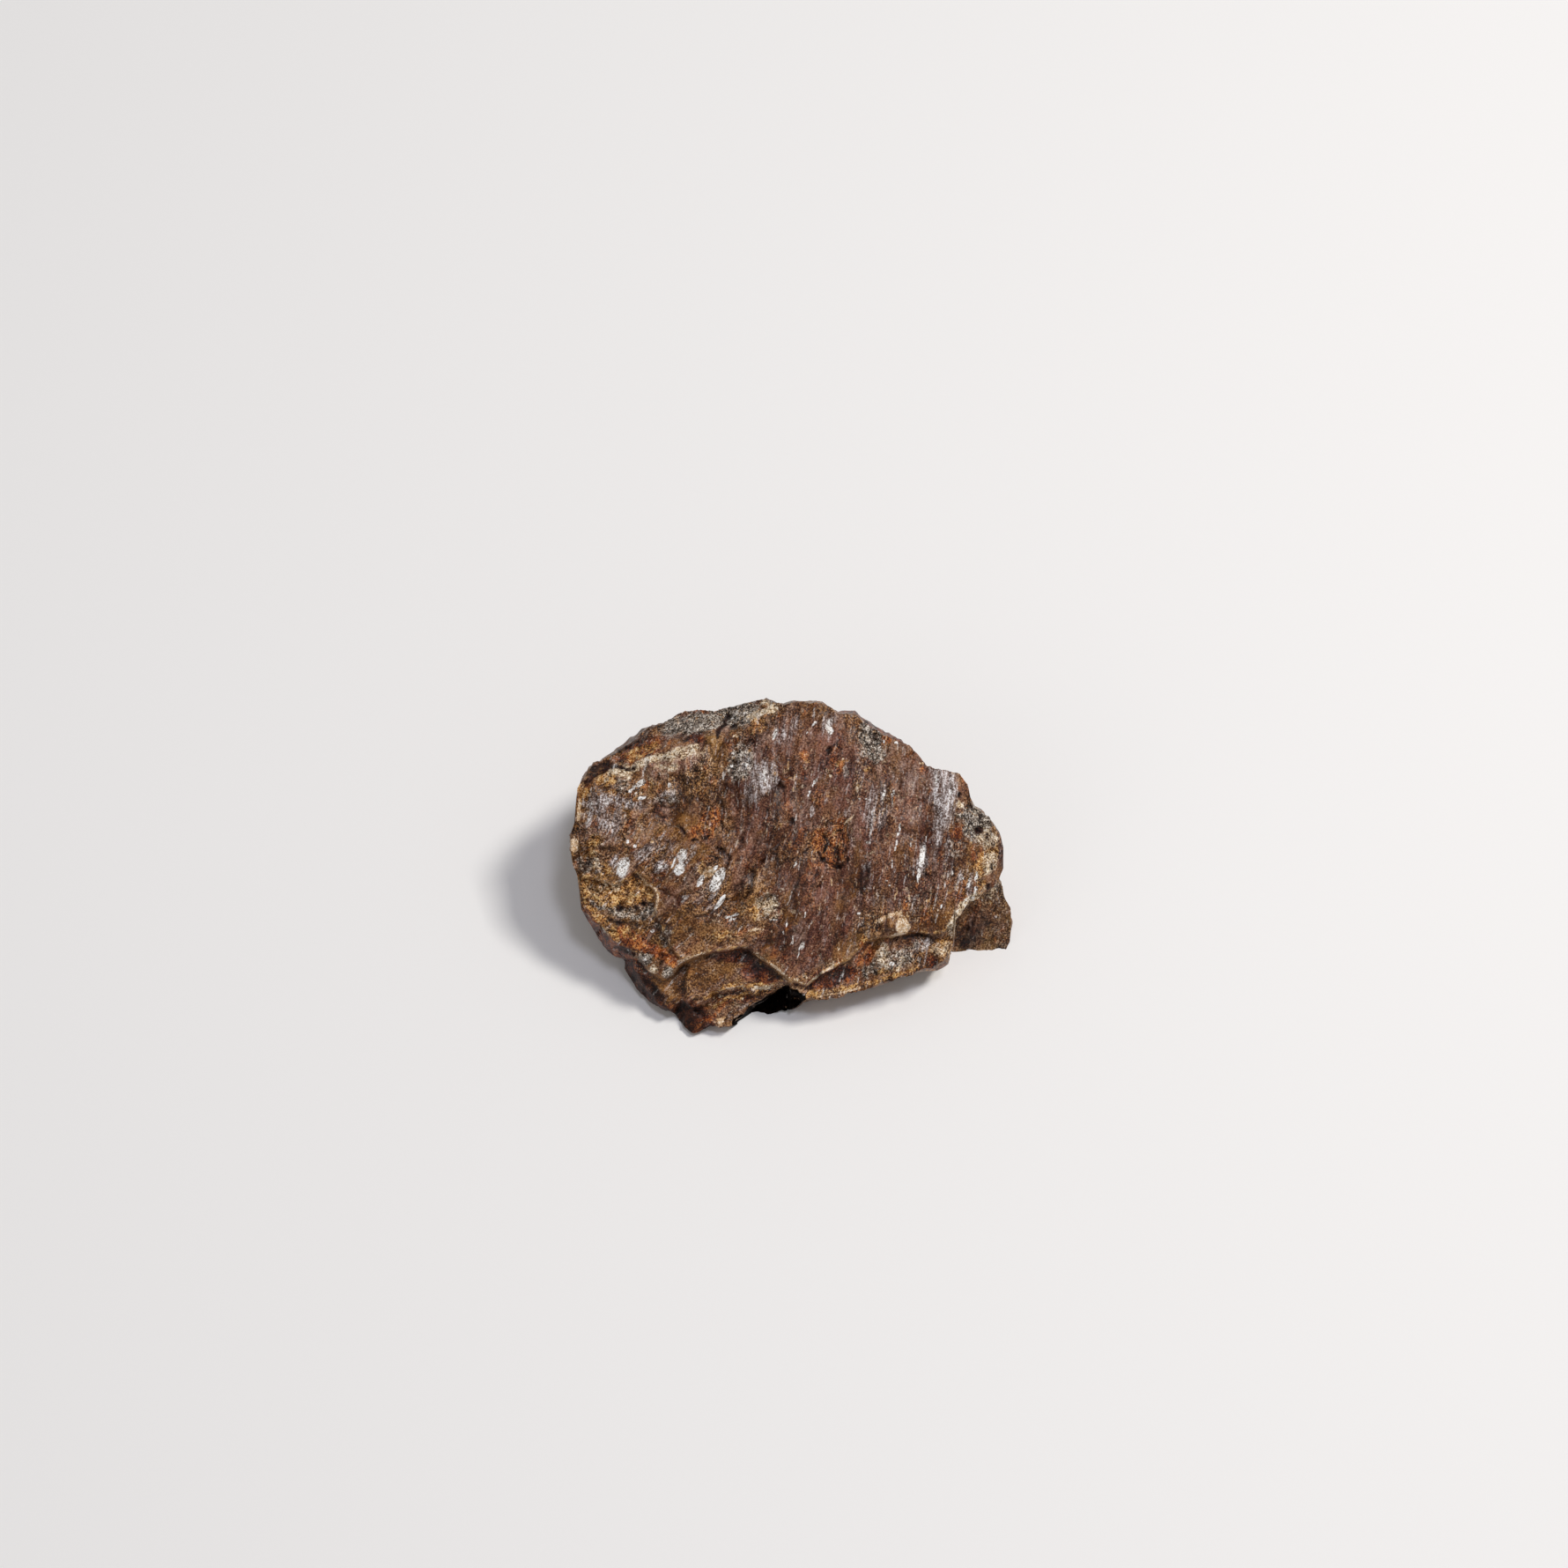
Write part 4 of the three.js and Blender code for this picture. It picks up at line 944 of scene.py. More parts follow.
@dataclass(frozen=True)
class SplitFace:
    """The slickensided face and its ledges, as a height over u and v. Sizes in millimetres."""

    breaks: dict[str, Break] = field(default_factory=lambda: BREAKS)
    swells: tuple[Swell, ...] = SWELLS
    crown: float = 0.35
    crown_at: Point = (-1.0, 3.0)
    fall_across: float = 0.0045  # fall away from the crown, to a square millimetre
    fall_along: float = 0.004
    broad_bumps: tuple[Bumps, ...] = (
        Bumps(0.14, 2.6, 2.6, octaves=1), Bumps(0.07, 1.3, 1.3, octaves=1),
    )

    # The striations lean to the right of straight up the face, most at its lower left.
    lean_deg: float = 9.0
    more_lean_deg: float = 27.0
    more_lean_u: Span = (3.0, -9.0)
    more_lean_v: Span = (7.0, -4.0)
    wave: Bumps = Bumps(0.25, 3.1, 4.3, 8.0, octaves=1)

    # The right of the face is calm: smooth satin between its striations.
    calm_u: Span = (-2.0, 4.0)
    calm_v: Span = (-5.5, -2.5)
    least_rugged: float = 0.1
    rugged_here_and_there: float = 0.45
    rugged_places: Bumps = Bumps(1.0, 1.7, 2.2, 15.0, octaves=2)
    rugged_rise: Span = (0.1, 0.6)
    bevel_granular_from: float = 0.8  # share of the granular bevel's fall in millimetres

    slivers: tuple[Grains, ...] = (
        Grains(1.7, 1.7, 3.2, 0.3, 0.07, 1.7), Grains(0.7, 0.7, 1.5, 0.26, 0.05, 0.7),
    )
    sliver_fading: Fading = Fading(0.8, 0.75, 0.5, 0.6)
    granules: tuple[Grains, ...] = (
        Grains(0.9, 0.9, 0.9, 0.5, 0.14, 2.7), Grains(0.4, 0.4, 0.4, 0.6, 0.15, 1.2),
        Grains(0.25, 0.25, 0.25, 0.7, 0.2, 0.75),
    )
    granule_fading: Fading = Fading(glassy=0.8)
    granules_where_rugged: float = 0.15
    granules_where_granular: float = 0.65
    worn: Bumps = Bumps(0.35, 0.6, 1.2, 5.0)  # how the grains' edges wander, in grain widths
    striae: Bumps = Bumps(0.035, 0.42, 9 * 0.42, 2.0, 3, 0.6, ridged=True)
    stria_fading: Fading = Fading(0.8, 0.75, 0.5, -1.0)
    pits: Bumps = Bumps(1.0, 0.5, 0.8, 6.0, octaves=2)
    pit_rise: Span = (0.4, 0.75)
    pit_depth: float = 0.12
    pit_fading: Fading = Fading(glassy=1.0, calm=0.5)
    crumbs: Bumps = Bumps(0.07, 0.8, 0.8, 7.0, 4, 0.55)
    crumb_fading: Fading = Fading(glassy=0.5)
    waves: Bumps = Bumps(0.26, 1.5, 2.6, 14.0, octaves=2)
    wave_fading: Fading = Fading(0.8, 0.75, 0.5, 1.0)
    ore_ridges: Bumps = Bumps(0.12, 1.4, 1.4, 13.0, 4, 0.6, ridged=True)
    glint_slope: Point = (-0.12, -0.22)
    glint_fullness: float = 1.3
    smallest_facet: float = 0.05  # a smaller glint is too small to tilt the mesh
    crack_depth: float = 0.22

    def along_grain(self, u: Array, v: Array) -> tuple[Array, Array]:
        """Coordinates across and along the striations.

        Args:
            u: first coordinates on the face.
            v: second coordinates.

        Returns:
            The coordinates across and along, in millimetres.
        """
        lower_left = smooth(*self.more_lean_u, u) * smooth(*self.more_lean_v, v)
        a = np.radians(self.lean_deg + self.more_lean_deg * lower_left)
        across = u * np.cos(a) - v * np.sin(a) + self.wave.over(u, v)
        return across, u * np.sin(a) + v * np.cos(a)

    def form(self, u: Array, v: Array) -> Array:
        """Height of the face's large forms, as in the CAD solid, in millimetres."""
        du, dv = u - self.crown_at[0], v - self.crown_at[1]
        height = self.crown - self.fall_across * du**2 - self.fall_along * dv**2
        for swell in self.swells:
            height = height + swell.rise(u, v)
        for one in self.breaks.values():
            height = height - one.fall(u, v)
        for broad in self.broad_bumps:
            height = height + broad.over(u, v)
        return height

    def ruggedness(self, u: Array, v: Array) -> Array:
        """How flaky the split face is at places on it, from 0 for smooth satin to 1."""
        here_and_there = smooth(*self.rugged_rise, self.rugged_places.over(u, v))
        cover = self.least_rugged + self.rugged_here_and_there * here_and_there
        for spot in RUGGED:
            cover = np.maximum(cover, spot.cover(u, v))
        return cover

    def relief(self, u: Array, v: Array, masks: Masks) -> Array:
        """Height of the fine relief: striations, thin shingles, grains, pits and glints.

        Args:
            u: first coordinates on the face.
            v: second coordinates.
            masks: cover of each stain at the same places.

        Returns:
            The height in millimetres.
        """
        across, along = self.along_grain(u, v)
        bevel = self.breaks["granular bevel"].fall(u, v)
        bevel = np.clip(self.bevel_granular_from * bevel, 0, 1)
        granular = sum(share * masks[stain] for stain, share in GRANULAR.items()) + bevel
        granular = np.clip(granular, 0, 1)
        glassy = np.maximum.reduce([share * masks[stain] for stain, share in GLASSY.items()])
        kinds = {
            "granular": granular, "glassy": glassy * (1 - bevel), "under_painted_sheen": masks[Stain.PAINTED_SHEEN],
            "calm": smooth(*self.calm_u, u) * smooth(*self.calm_v, v),
        }
        worn = self.worn.over(across, along)

        height = np.zeros(np.shape(u))
        for one in self.slivers:
            sliver = one.over(across / one.width + worn, along / one.length + worn)
            height += sliver * self.sliver_fading.left(kinds)
        share = self.granules_where_rugged * self.ruggedness(u, v)
        share += self.granules_where_granular * granular
        for one in self.granules:
            granule = one.over(u / one.width + worn, v / one.length - worn)
            height += granule * share * self.granule_fading.left(kinds)
        height += self.striae.over(across, along) * self.stria_fading.left(kinds)
        pit = self.pit_depth * smooth(*self.pit_rise, self.pits.over(across, along))
        height -= pit * self.pit_fading.left(kinds)
        height += self.crumbs.over(u, v) * self.crumb_fading.left(kinds)
        height += self.waves.over(across, along) * self.wave_fading.left(kinds)
        height += self.ore_ridges.over(u, v) * granular

        for spot in STAINS[Stain.PAINTED_GLINT]:
            if isinstance(spot, Patch) and spot.across * spot.along > self.smallest_facet:
                tilt = self.glint_slope[0] * (u - spot.u) + self.glint_slope[1] * (v - spot.v)
                height += np.clip(self.glint_fullness * spot.cover(u, v), 0, 1) * tilt
        for crack in STAINS[Stain.DARK_AND_SHADE]:
            height -= self.crack_depth * crack.cover(u, v) ** 2
        return height


# ---------------------------------------------------------------------------------------------
# Bodies: a box's grid whose points are drawn out from the body's heart to its surface
# ---------------------------------------------------------------------------------------------

TINY = 1e-6


@dataclass
class Grid:
    """The points and faces of a box's surface, and each point's share of its three sides."""

    across: int
    along: int
    deep: int

    def __post_init__(self) -> None:
        """Numbers the points on the box's surface."""
        shape = (self.across + 1, self.along + 1, self.deep + 1)
        on = np.zeros(shape, bool)
        for axis in range(3):
            for end in (0, -1):
                on[self.sheet(axis, end)] = True
        self.index = np.full(shape, -1)
        self.index[on] = np.arange(on.sum())
        self.shares = np.argwhere(on) / np.array([self.across, self.along, self.deep])
        self.top = self.index[self.sheet(2, -1)]

    @staticmethod
    def sheet(axis: int, end: int) -> tuple[int | slice, ...]:
        """What picks out the box's side at one end of an axis: 0 for its start, -1 for its end."""
        return tuple(end if a == axis else slice(None) for a in range(3))

    def faces(self) -> list[list[int]]:
        """The faces as point numbers, turned outwards: fine on the top, half as fine elsewhere."""
        found: list[list[int]] = []
        for axis in range(3):
            for end in (0, -1):
                side = self.index[self.sheet(axis, end)]
                step = 1 if (axis, end) == (2, -1) else 2
                coarse = side[::step, ::step]
                corners = [coarse[:-1, :-1], coarse[1:, :-1], coarse[1:, 1:], coarse[:-1, 1:]]
                kinds = [corners]
                if axis != 2:
                    # Along the top's rim each face takes up the point between its two corners.
                    rim = [corner[:, -1] for corner in corners]
                    rim.insert(3, side[1::2, -1])
                    kinds = [[corner[:, :-1] for corner in corners], rim]
                for kind in kinds:
                    rows = np.stack([corner.ravel() for corner in kind], axis=1)
                    inwards = (end == 0) != (axis == 1)
                    found += (rows[:, ::-1] if inwards else rows).tolist()
        return found


@dataclass
class Body:
    """A rock body seen from its heart: an outline, a top and flat breaks. In millimetres."""

    outline: Points
    sides: dict[str, Side]
    heart: tuple[float, float, float]
    waist: float  # v of the row where the outline is widest
    floor: float  # w of the bottom of the box's grid
    grid: Grid
    form: Callable[[Array, Array], Array]
    relief: Callable[[Array, Array], Array]
    roughness: float = 1.0
    chips: Bumps = Bumps(0.32, 0.7, 0.7, 9.0, 4, 0.7)
    end_inset: float = 0.25  # from the outline's left and right ends to the grid's end columns
    splinter: float = 0.1
    overhang: float = 0.15  # how far the top stands out over the walls
    rim_depth: float = 1.5  # below the rim, to where the walls have all of their roughness
    rough: tuple[Bumps, ...] = (
        Bumps(0.55, 3.4, 3.4, octaves=1), Bumps(0.28, 1.5, 1.5, octaves=1),
    )
    hackly: Grains = Grains(0.3, 0.9, 0.9, 0.55, 0.2, 41.0)
    hackly_lengths: Point = (1.7, 1.2)  # of the grains, down the walls
    fine: Bumps = Bumps(0.12, 0.7, 0.7, 0.0, 4, 0.6)
    rough_at_rim: float = 0.3

    def columns(self, u: Array) -> tuple[Array, Array]:
        """The outline's lower and upper edge at each u.

        Args:
            u: first coordinates on the face.

        Returns:
            The lower and the upper v, the crossings nearest to the waist.
        """
        low, high = np.full(u.shape, -FAR), np.full(u.shape, FAR)
        for (u0, v0), (u1, v1) in pieces(self.outline, closed=True):
            if u0 == u1:
                continue
            t = (u - u0) / (u1 - u0)
            v = v0 + t * (v1 - v0)
            hit = (t >= 0) & (t <= 1)
            low = np.where(hit & (v <= self.waist) & (v > low), v, low)
            high = np.where(hit & (v > self.waist) & (v < high), v, high)
        return low + self.chips.over(u, low), high - self.chips.over(u, high)

    def reach(self, direction: Array) -> Array:
        """How far it is from the heart to the nearest flat break in each direction."""
        heart = np.array(self.heart)
        nearest = np.full(len(direction), np.inf)
        for side in self.sides.values():
            normal, along = side.in_face_frame()
            toward = direction @ normal
            with np.errstate(divide="ignore"):
                t = np.where(toward > TINY, (along - heart @ normal) / toward, np.inf)
            nearest = np.minimum(nearest, t)
        return nearest

    def outline_reach(self, direction: Array) -> Array:
        """How far it is from the heart to the upright wall over the outline."""
        heart = np.array(self.heart)
        nearest = np.full(len(direction), np.inf)
        for start, end in pieces(self.outline, closed=True):
            (u0, v0), (u1, v1) = start, end
            normal = np.array([v1 - v0, u0 - u1])
            offset = normal @ (np.array(start) - heart[:2])
            toward = direction[:, :2] @ normal
            with np.errstate(divide="ignore", invalid="ignore"):
                t = offset / toward
                place = heart[:2] + t[:, None] * direction[:, :2]
                share = (place - np.array(start)) @ np.array([u1 - u0, v1 - v0])
            share = share / ((u1 - u0) ** 2 + (v1 - v0) ** 2)
            hit = (t > 0) & (share >= -TINY) & (share <= 1 + TINY)
            nearest = np.where(hit & (t < nearest), t, nearest)
        return nearest

    def places(self) -> tuple[Array, Array]:
        """The grid's points drawn out to the body's surface.

        Returns:
            The places in u, v, w, and which of them lie on the top.
        """
        share = self.grid.shares
        heart = np.array(self.heart)
        ends = [u for u, _ in self.outline]
        u = min(ends) + self.end_inset + share[:, 0] * (max(ends) - min(ends) - 2 * self.end_inset)
        low, high = self.columns(u)
        v = low + share[:, 1] * (high - low)
        on_top = share[:, 2] == 1
        w = self.floor + share[:, 2] * (self.form(u, v) - self.floor)
        w[on_top] += self.relief(u[on_top], v[on_top])
        ray = np.stack([u, v, w], axis=1) - heart
        length = np.linalg.norm(ray, axis=1)
        direction = ray / length[:, None]
        wall = np.minimum(self.reach(direction), self.outline_reach(direction))
        u, v, w = (heart + wall[:, None] * direction).T
        below = np.clip((self.form(u, v) - w) / self.rim_depth, 0, 1)
        wall = wall - self.roughness * self.broken(u, v, w, below)
        wall = wall - (1 - below) * self.chips.over(u, v)
        distance = np.where(on_top, np.minimum(length, wall + self.overhang), wall)
        distance[self.grid.top] = self.without_splinters(distance[self.grid.top])
        return heart + distance[:, None] * direction, on_top

    def without_splinters(self, sheet: Array) -> Array:
        """Breaks off single points that stand out from the eight around them.

        Args:
            sheet: the top's distances from the heart, as a grid.

        Returns:
            The distances, each within a splinter's height of the middle one around it.
        """
        padded = np.pad(sheet, 1, mode="edge")
        rows, columns = sheet.shape
        around = [padded[i : i + rows, j : j + columns] for i in range(3) for j in range(3)]
        middle = np.median(around, axis=0)
        return np.clip(sheet, middle - self.splinter, middle + self.splinter)

    def broken(self, u: Array, v: Array, w: Array, below: Array) -> Array:
        """Depth of the rough breaks on the walls.

        Args:
            u: first coordinates of points on the walls.
            v: second coordinates.
            w: third coordinates.
            below: 0 at the rim to 1 where the walls have all of their roughness.

        Returns:
            The depth in millimetres.
        """
        rough = sum(one.over(u, v, w) for one in self.rough)
        width, (left, right) = self.hackly.width, self.hackly_lengths
        grains = self.hackly.over(u / width + w / left, v / width - w / right)
        fine = self.fine.over(u, v + self.fine.along * w, w)
        share = self.rough_at_rim + (1 - self.rough_at_rim) * below
        return below * rough + share * (grains + fine)


@dataclass
class Stone:
    """The whole specimen: the plate with its split face, and the lump of wall rock."""

    face: SplitFace = field(default_factory=SplitFace)
    lump_grains: Grains = Grains(0.5, 0.9, 0.9, 0.5, 0.15, 43.0)
    lump_bumps: Bumps = Bumps(0.3, 1.6, 1.6, 21.0, 4, 0.55)
    face_fades: Span = (0.2, 1.6)  # depth below the rim at which the face's stains fade
    rugged_ore: float = 0.8  # how rugged granular ore is
    wall_rugged_least: float = 0.15
    wall_rugged_more: float = 0.55
    wall_rugged_places: Bumps = Bumps(1.0, 2.4, 2.4, octaves=2)
    wall_rugged_rise: Span = (-0.3, 0.5)
    vein_rise: Span = (0.0, 0.6)
    vein_seed: float = 9.0
    hollow_reach: int = 14  # rounds of averaging that give the height around a point
    hollow_full: float = 0.09  # depth in millimetres of a hollow that counts in full

    def __post_init__(self) -> None:
        """Sets up the two bodies."""
        self.plate = Body(
            OUTLINE, SIDES, (0, -0.3, -6), 1.0, -11.5, Grid(280, 212, 48),
            self.face.form, self.face_relief,
        )
        self.lump = Body(
            LUMP_OUTLINE, LUMP_SIDES, (12.6, -3, -6.6), -3.6, -9.1, Grid(64, 76, 56),
            self.lump_form, self.lump_relief, 0.6, Bumps(0.15, 0.7, 0.7, 9.0, 4, 0.7),
        )

    def face_relief(self, u: Array, v: Array) -> Array:
        """Height of the split face's fine relief over its form, in millimetres."""
        return self.face.relief(u, v, stain_masks(u, v))

    def lump_relief(self, u: Array, v: Array) -> Array:
        """Height of the lump's hackly grains over its flat breaks, in millimetres."""
        grains = self.lump_grains.over(u / self.lump_grains.width, v / self.lump_grains.length)
        return grains + self.lump_bumps.over(u, v)

    def lump_form(self, u: Array, v: Array) -> Array:
        """Height of the lump under its flat breaks that face forward."""
        heights = []
        for side in LUMP_SIDES.values():
            normal, along = side.in_face_frame()
            if normal[2] > 0:
                heights.append((along - normal[0] * u - normal[1] * v) / normal[2])
        return np.minimum.reduce(heights)

    def build(self) -> bpy.types.Object:
        """Builds the mesh with its masks, cut off flat where it rests.

        Returns:
            The stone, in the part's frame.
        """
        plate, plate_top = self.plate.places()
        lump, _ = self.lump.places()
        places = np.concatenate([plate, lump])
        faces = self.plate.grid.faces()
        faces += [[corner + len(plate) for corner in one] for one in self.lump.grid.faces()]
        mesh = bpy.data.meshes.new(STONE_PIECE)
        mesh.from_pydata((FACE.to_part(places) * MM).tolist(), [], faces)
        self.mark(mesh, places, plate_top)
        self.cut_flat(mesh)
        mesh.shade_smooth()
        stone = bpy.data.objects.new(STONE_PIECE, mesh)
        bpy.context.scene.collection.objects.link(stone)
        return stone

    def mark(self, mesh: bpy.types.Mesh, places: Array, top: Array) -> None:
        """Writes the stains' masks, the hollows and the grain's coordinates on the mesh.

        Args:
            mesh: the mesh to mark.
            places: its points in u, v, w, the plate's first and then the lump's.
            top: which of the plate's points lie on the split face.
        """
        u, v, w = places.T
        masks = stain_masks(u, v)
        plates = len(top)
        depth = self.face.form(u[:plates], v[:plates]) - w[:plates]
        on_face, walls = np.zeros(len(places)), np.zeros(len(places))
        on_face[:plates] = np.where(top, 1.0, 1 - smooth(*self.face_fades, depth))
        walls[:plates] = 1 - on_face[:plates]
        granular = np.clip(sum(masks[stain] for stain in GRANULAR), 0, 1)
        rugged = np.maximum(self.face.ruggedness(u, v), self.rugged_ore * granular) * on_face
        rough_break = smooth(*self.wall_rugged_rise, self.wall_rugged_places.over(u, v, w))
        rough_break = self.wall_rugged_least + self.wall_rugged_more * rough_break
        rugged += rough_break * (1 - on_face)
        self.write(mesh, "rugged", rugged)
        for number, (stain, cover) in enumerate(masks.items()):
            on_lump = cover[plates:]
            cover = np.maximum(cover * on_face, EVERYWHERE.get(stain, 0.0))
            cover = np.maximum(cover, FLECKS.get(stain, 0.0) * rugged)
            if stain in WALL_VEINS:
                most, size = WALL_VEINS[stain]
                vein = Bumps(1.0, size, size, self.vein_seed * number, octaves=2).over(u, v, w)
                cover += most * walls * smooth(*self.vein_rise, vein)
            if stain in ON_LUMP:
                cover[plates:] = np.maximum(cover[plates:], on_lump)
            elif stain is Stain.MATRIX:
                cover[plates:] = 1.0
            self.write(mesh, stain.value, np.clip(cover, 0, 1))
        self.write(mesh, "hollow", self.hollows(places))
        grain = np.stack([*self.face.along_grain(u, v), w], axis=1)
        attribute = mesh.attributes.new("grain", "FLOAT_VECTOR", "POINT")
        attribute.data.foreach_set("vector", grain.astype(np.float32).ravel())

    def hollows(self, places: Array) -> Array:
        """How far each point of the split face lies below what is around it, from -1 to 1; the
        finish paints shade and light by it.
        """
        top = self.plate.grid.top
        height = places[top, 2]
        around = height.copy()
        for _ in range(self.hollow_reach):
            p = np.pad(around, 1, mode="edge")
            around = (p[:-2, 1:-1] + p[2:, 1:-1] + p[1:-1, :-2] + p[1:-1, 2:]) / 4
        hollow = np.zeros(len(places))
        hollow[top] = np.clip((around - height) / self.hollow_full, -1, 1)
        return hollow

    @staticmethod
    def write(mesh: bpy.types.Mesh, name: str, values: Array) -> None:
        """Writes one number to a point as the attribute of that name."""
        attribute = mesh.attributes.new(name, "FLOAT", "POINT")
        attribute.data.foreach_set("value", values.astype(np.float32))

    @staticmethod
    def cut_flat(mesh: bpy.types.Mesh) -> None:
        """Cuts the mesh off at the surface that it rests on, and closes it there."""
        work = bmesh.new()
        work.from_mesh(mesh)
        unused = [point for point in work.verts if not point.link_faces]
        bmesh.ops.delete(work, geom=unused, context="VERTS")
        cut = bmesh.ops.bisect_plane(
            work, geom=[*work.verts, *work.edges, *work.faces], dist=1e-7,
            plane_co=(0, 0, 0), plane_no=(0, 0, 1), clear_inner=True,
        )["geom_cut"]
        rim = [one for one in cut if isinstance(one, bmesh.types.BMEdge)]
        bmesh.ops.edgeloop_fill(work, edges=rim)
        bmesh.ops.recalc_face_normals(work, faces=work.faces)
        work.to_mesh(mesh)
        work.free()


# ---------------------------------------------------------------------------------------------
# Finishes
# ---------------------------------------------------------------------------------------------


def linear(colour: str) -> tuple[float, float, float, float]:
    """Turns an sRGB hex colour to linear.

    Args:
        colour: the colour, such as "#a0522d".

    Returns:
        Linear red, green, blue and 1.
    """
    parts = [int(colour[n : n + 2], 16) / 255 for n in (1, 3, 5)]
    r, g, b = (c / 12.92 if c <= 0.04045 else ((c + 0.055) / 1.055) ** 2.4 for c in parts)
    return (r, g, b, 1.0)


Tree = bpy.types.NodeTree
Socket = bpy.types.NodeSocket
Stops = tuple[tuple[float, str], ...]  # place and sRGB hex colour of each stop of a ramp
MIDDLE = 0.5  # average of a pattern
NOISE_SCALE = 0.5  # sizes are of single flecks, and a wave of the noise is two of them
OCTAVE_SHARE = 0.66  # strength of each octave of the noise, in the one before
NOISE_SPAN: Span = (0.3, 0.7)  # the part of the noise's values that is spread over 0 to 1


def add_node(tree: Tree, kind: str, inputs: dict | None = None, stops: Stops = (),
             **settings: str) -> bpy.types.Node:
    """Adds a shader node with its settings and links.

    Args:
        tree: the node tree.
        kind: the node's type.
        inputs: for each socket, by name or number, a value or the socket that feeds it.
        stops: a colour ramp's stops.
        settings: properties of the node.

    Returns:
        The node.
    """
    node = tree.nodes.new(f"ShaderNode{kind}")
    for name, value in settings.items():
        setattr(node, name, value)
    for name, value in (inputs or {}).items():
        if isinstance(value, Socket):
            tree.links.new(value, node.inputs[name])
        else:
            node.inputs[name].default_value = value
    for number, (at, colour) in enumerate(stops):
        elements = node.color_ramp.elements
        element = elements[number] if number < len(elements) else elements.new(at)
        element.position, element.color = at, linear(colour)
    return node


@dataclass(frozen=True)
class Pattern:
    """A noise pattern, by the real size of its largest flecks across the striations."""

    size_mm: float
    stretch: float = 1.0  # how many times longer the flecks are along the striations
    detail: float = 3.0  # octaves
    shift: float = 0.0


@dataclass(frozen=True)
class Layer:
    """A mineral or stain over what lies below it."""

    stain: Stain
    colours: Stops
    speck_mm: float
    stretch: float
    sharp: float
    roughness: float
    metallic: float = 0.0
    most: float = 0.85
    octaves: float = 6.0


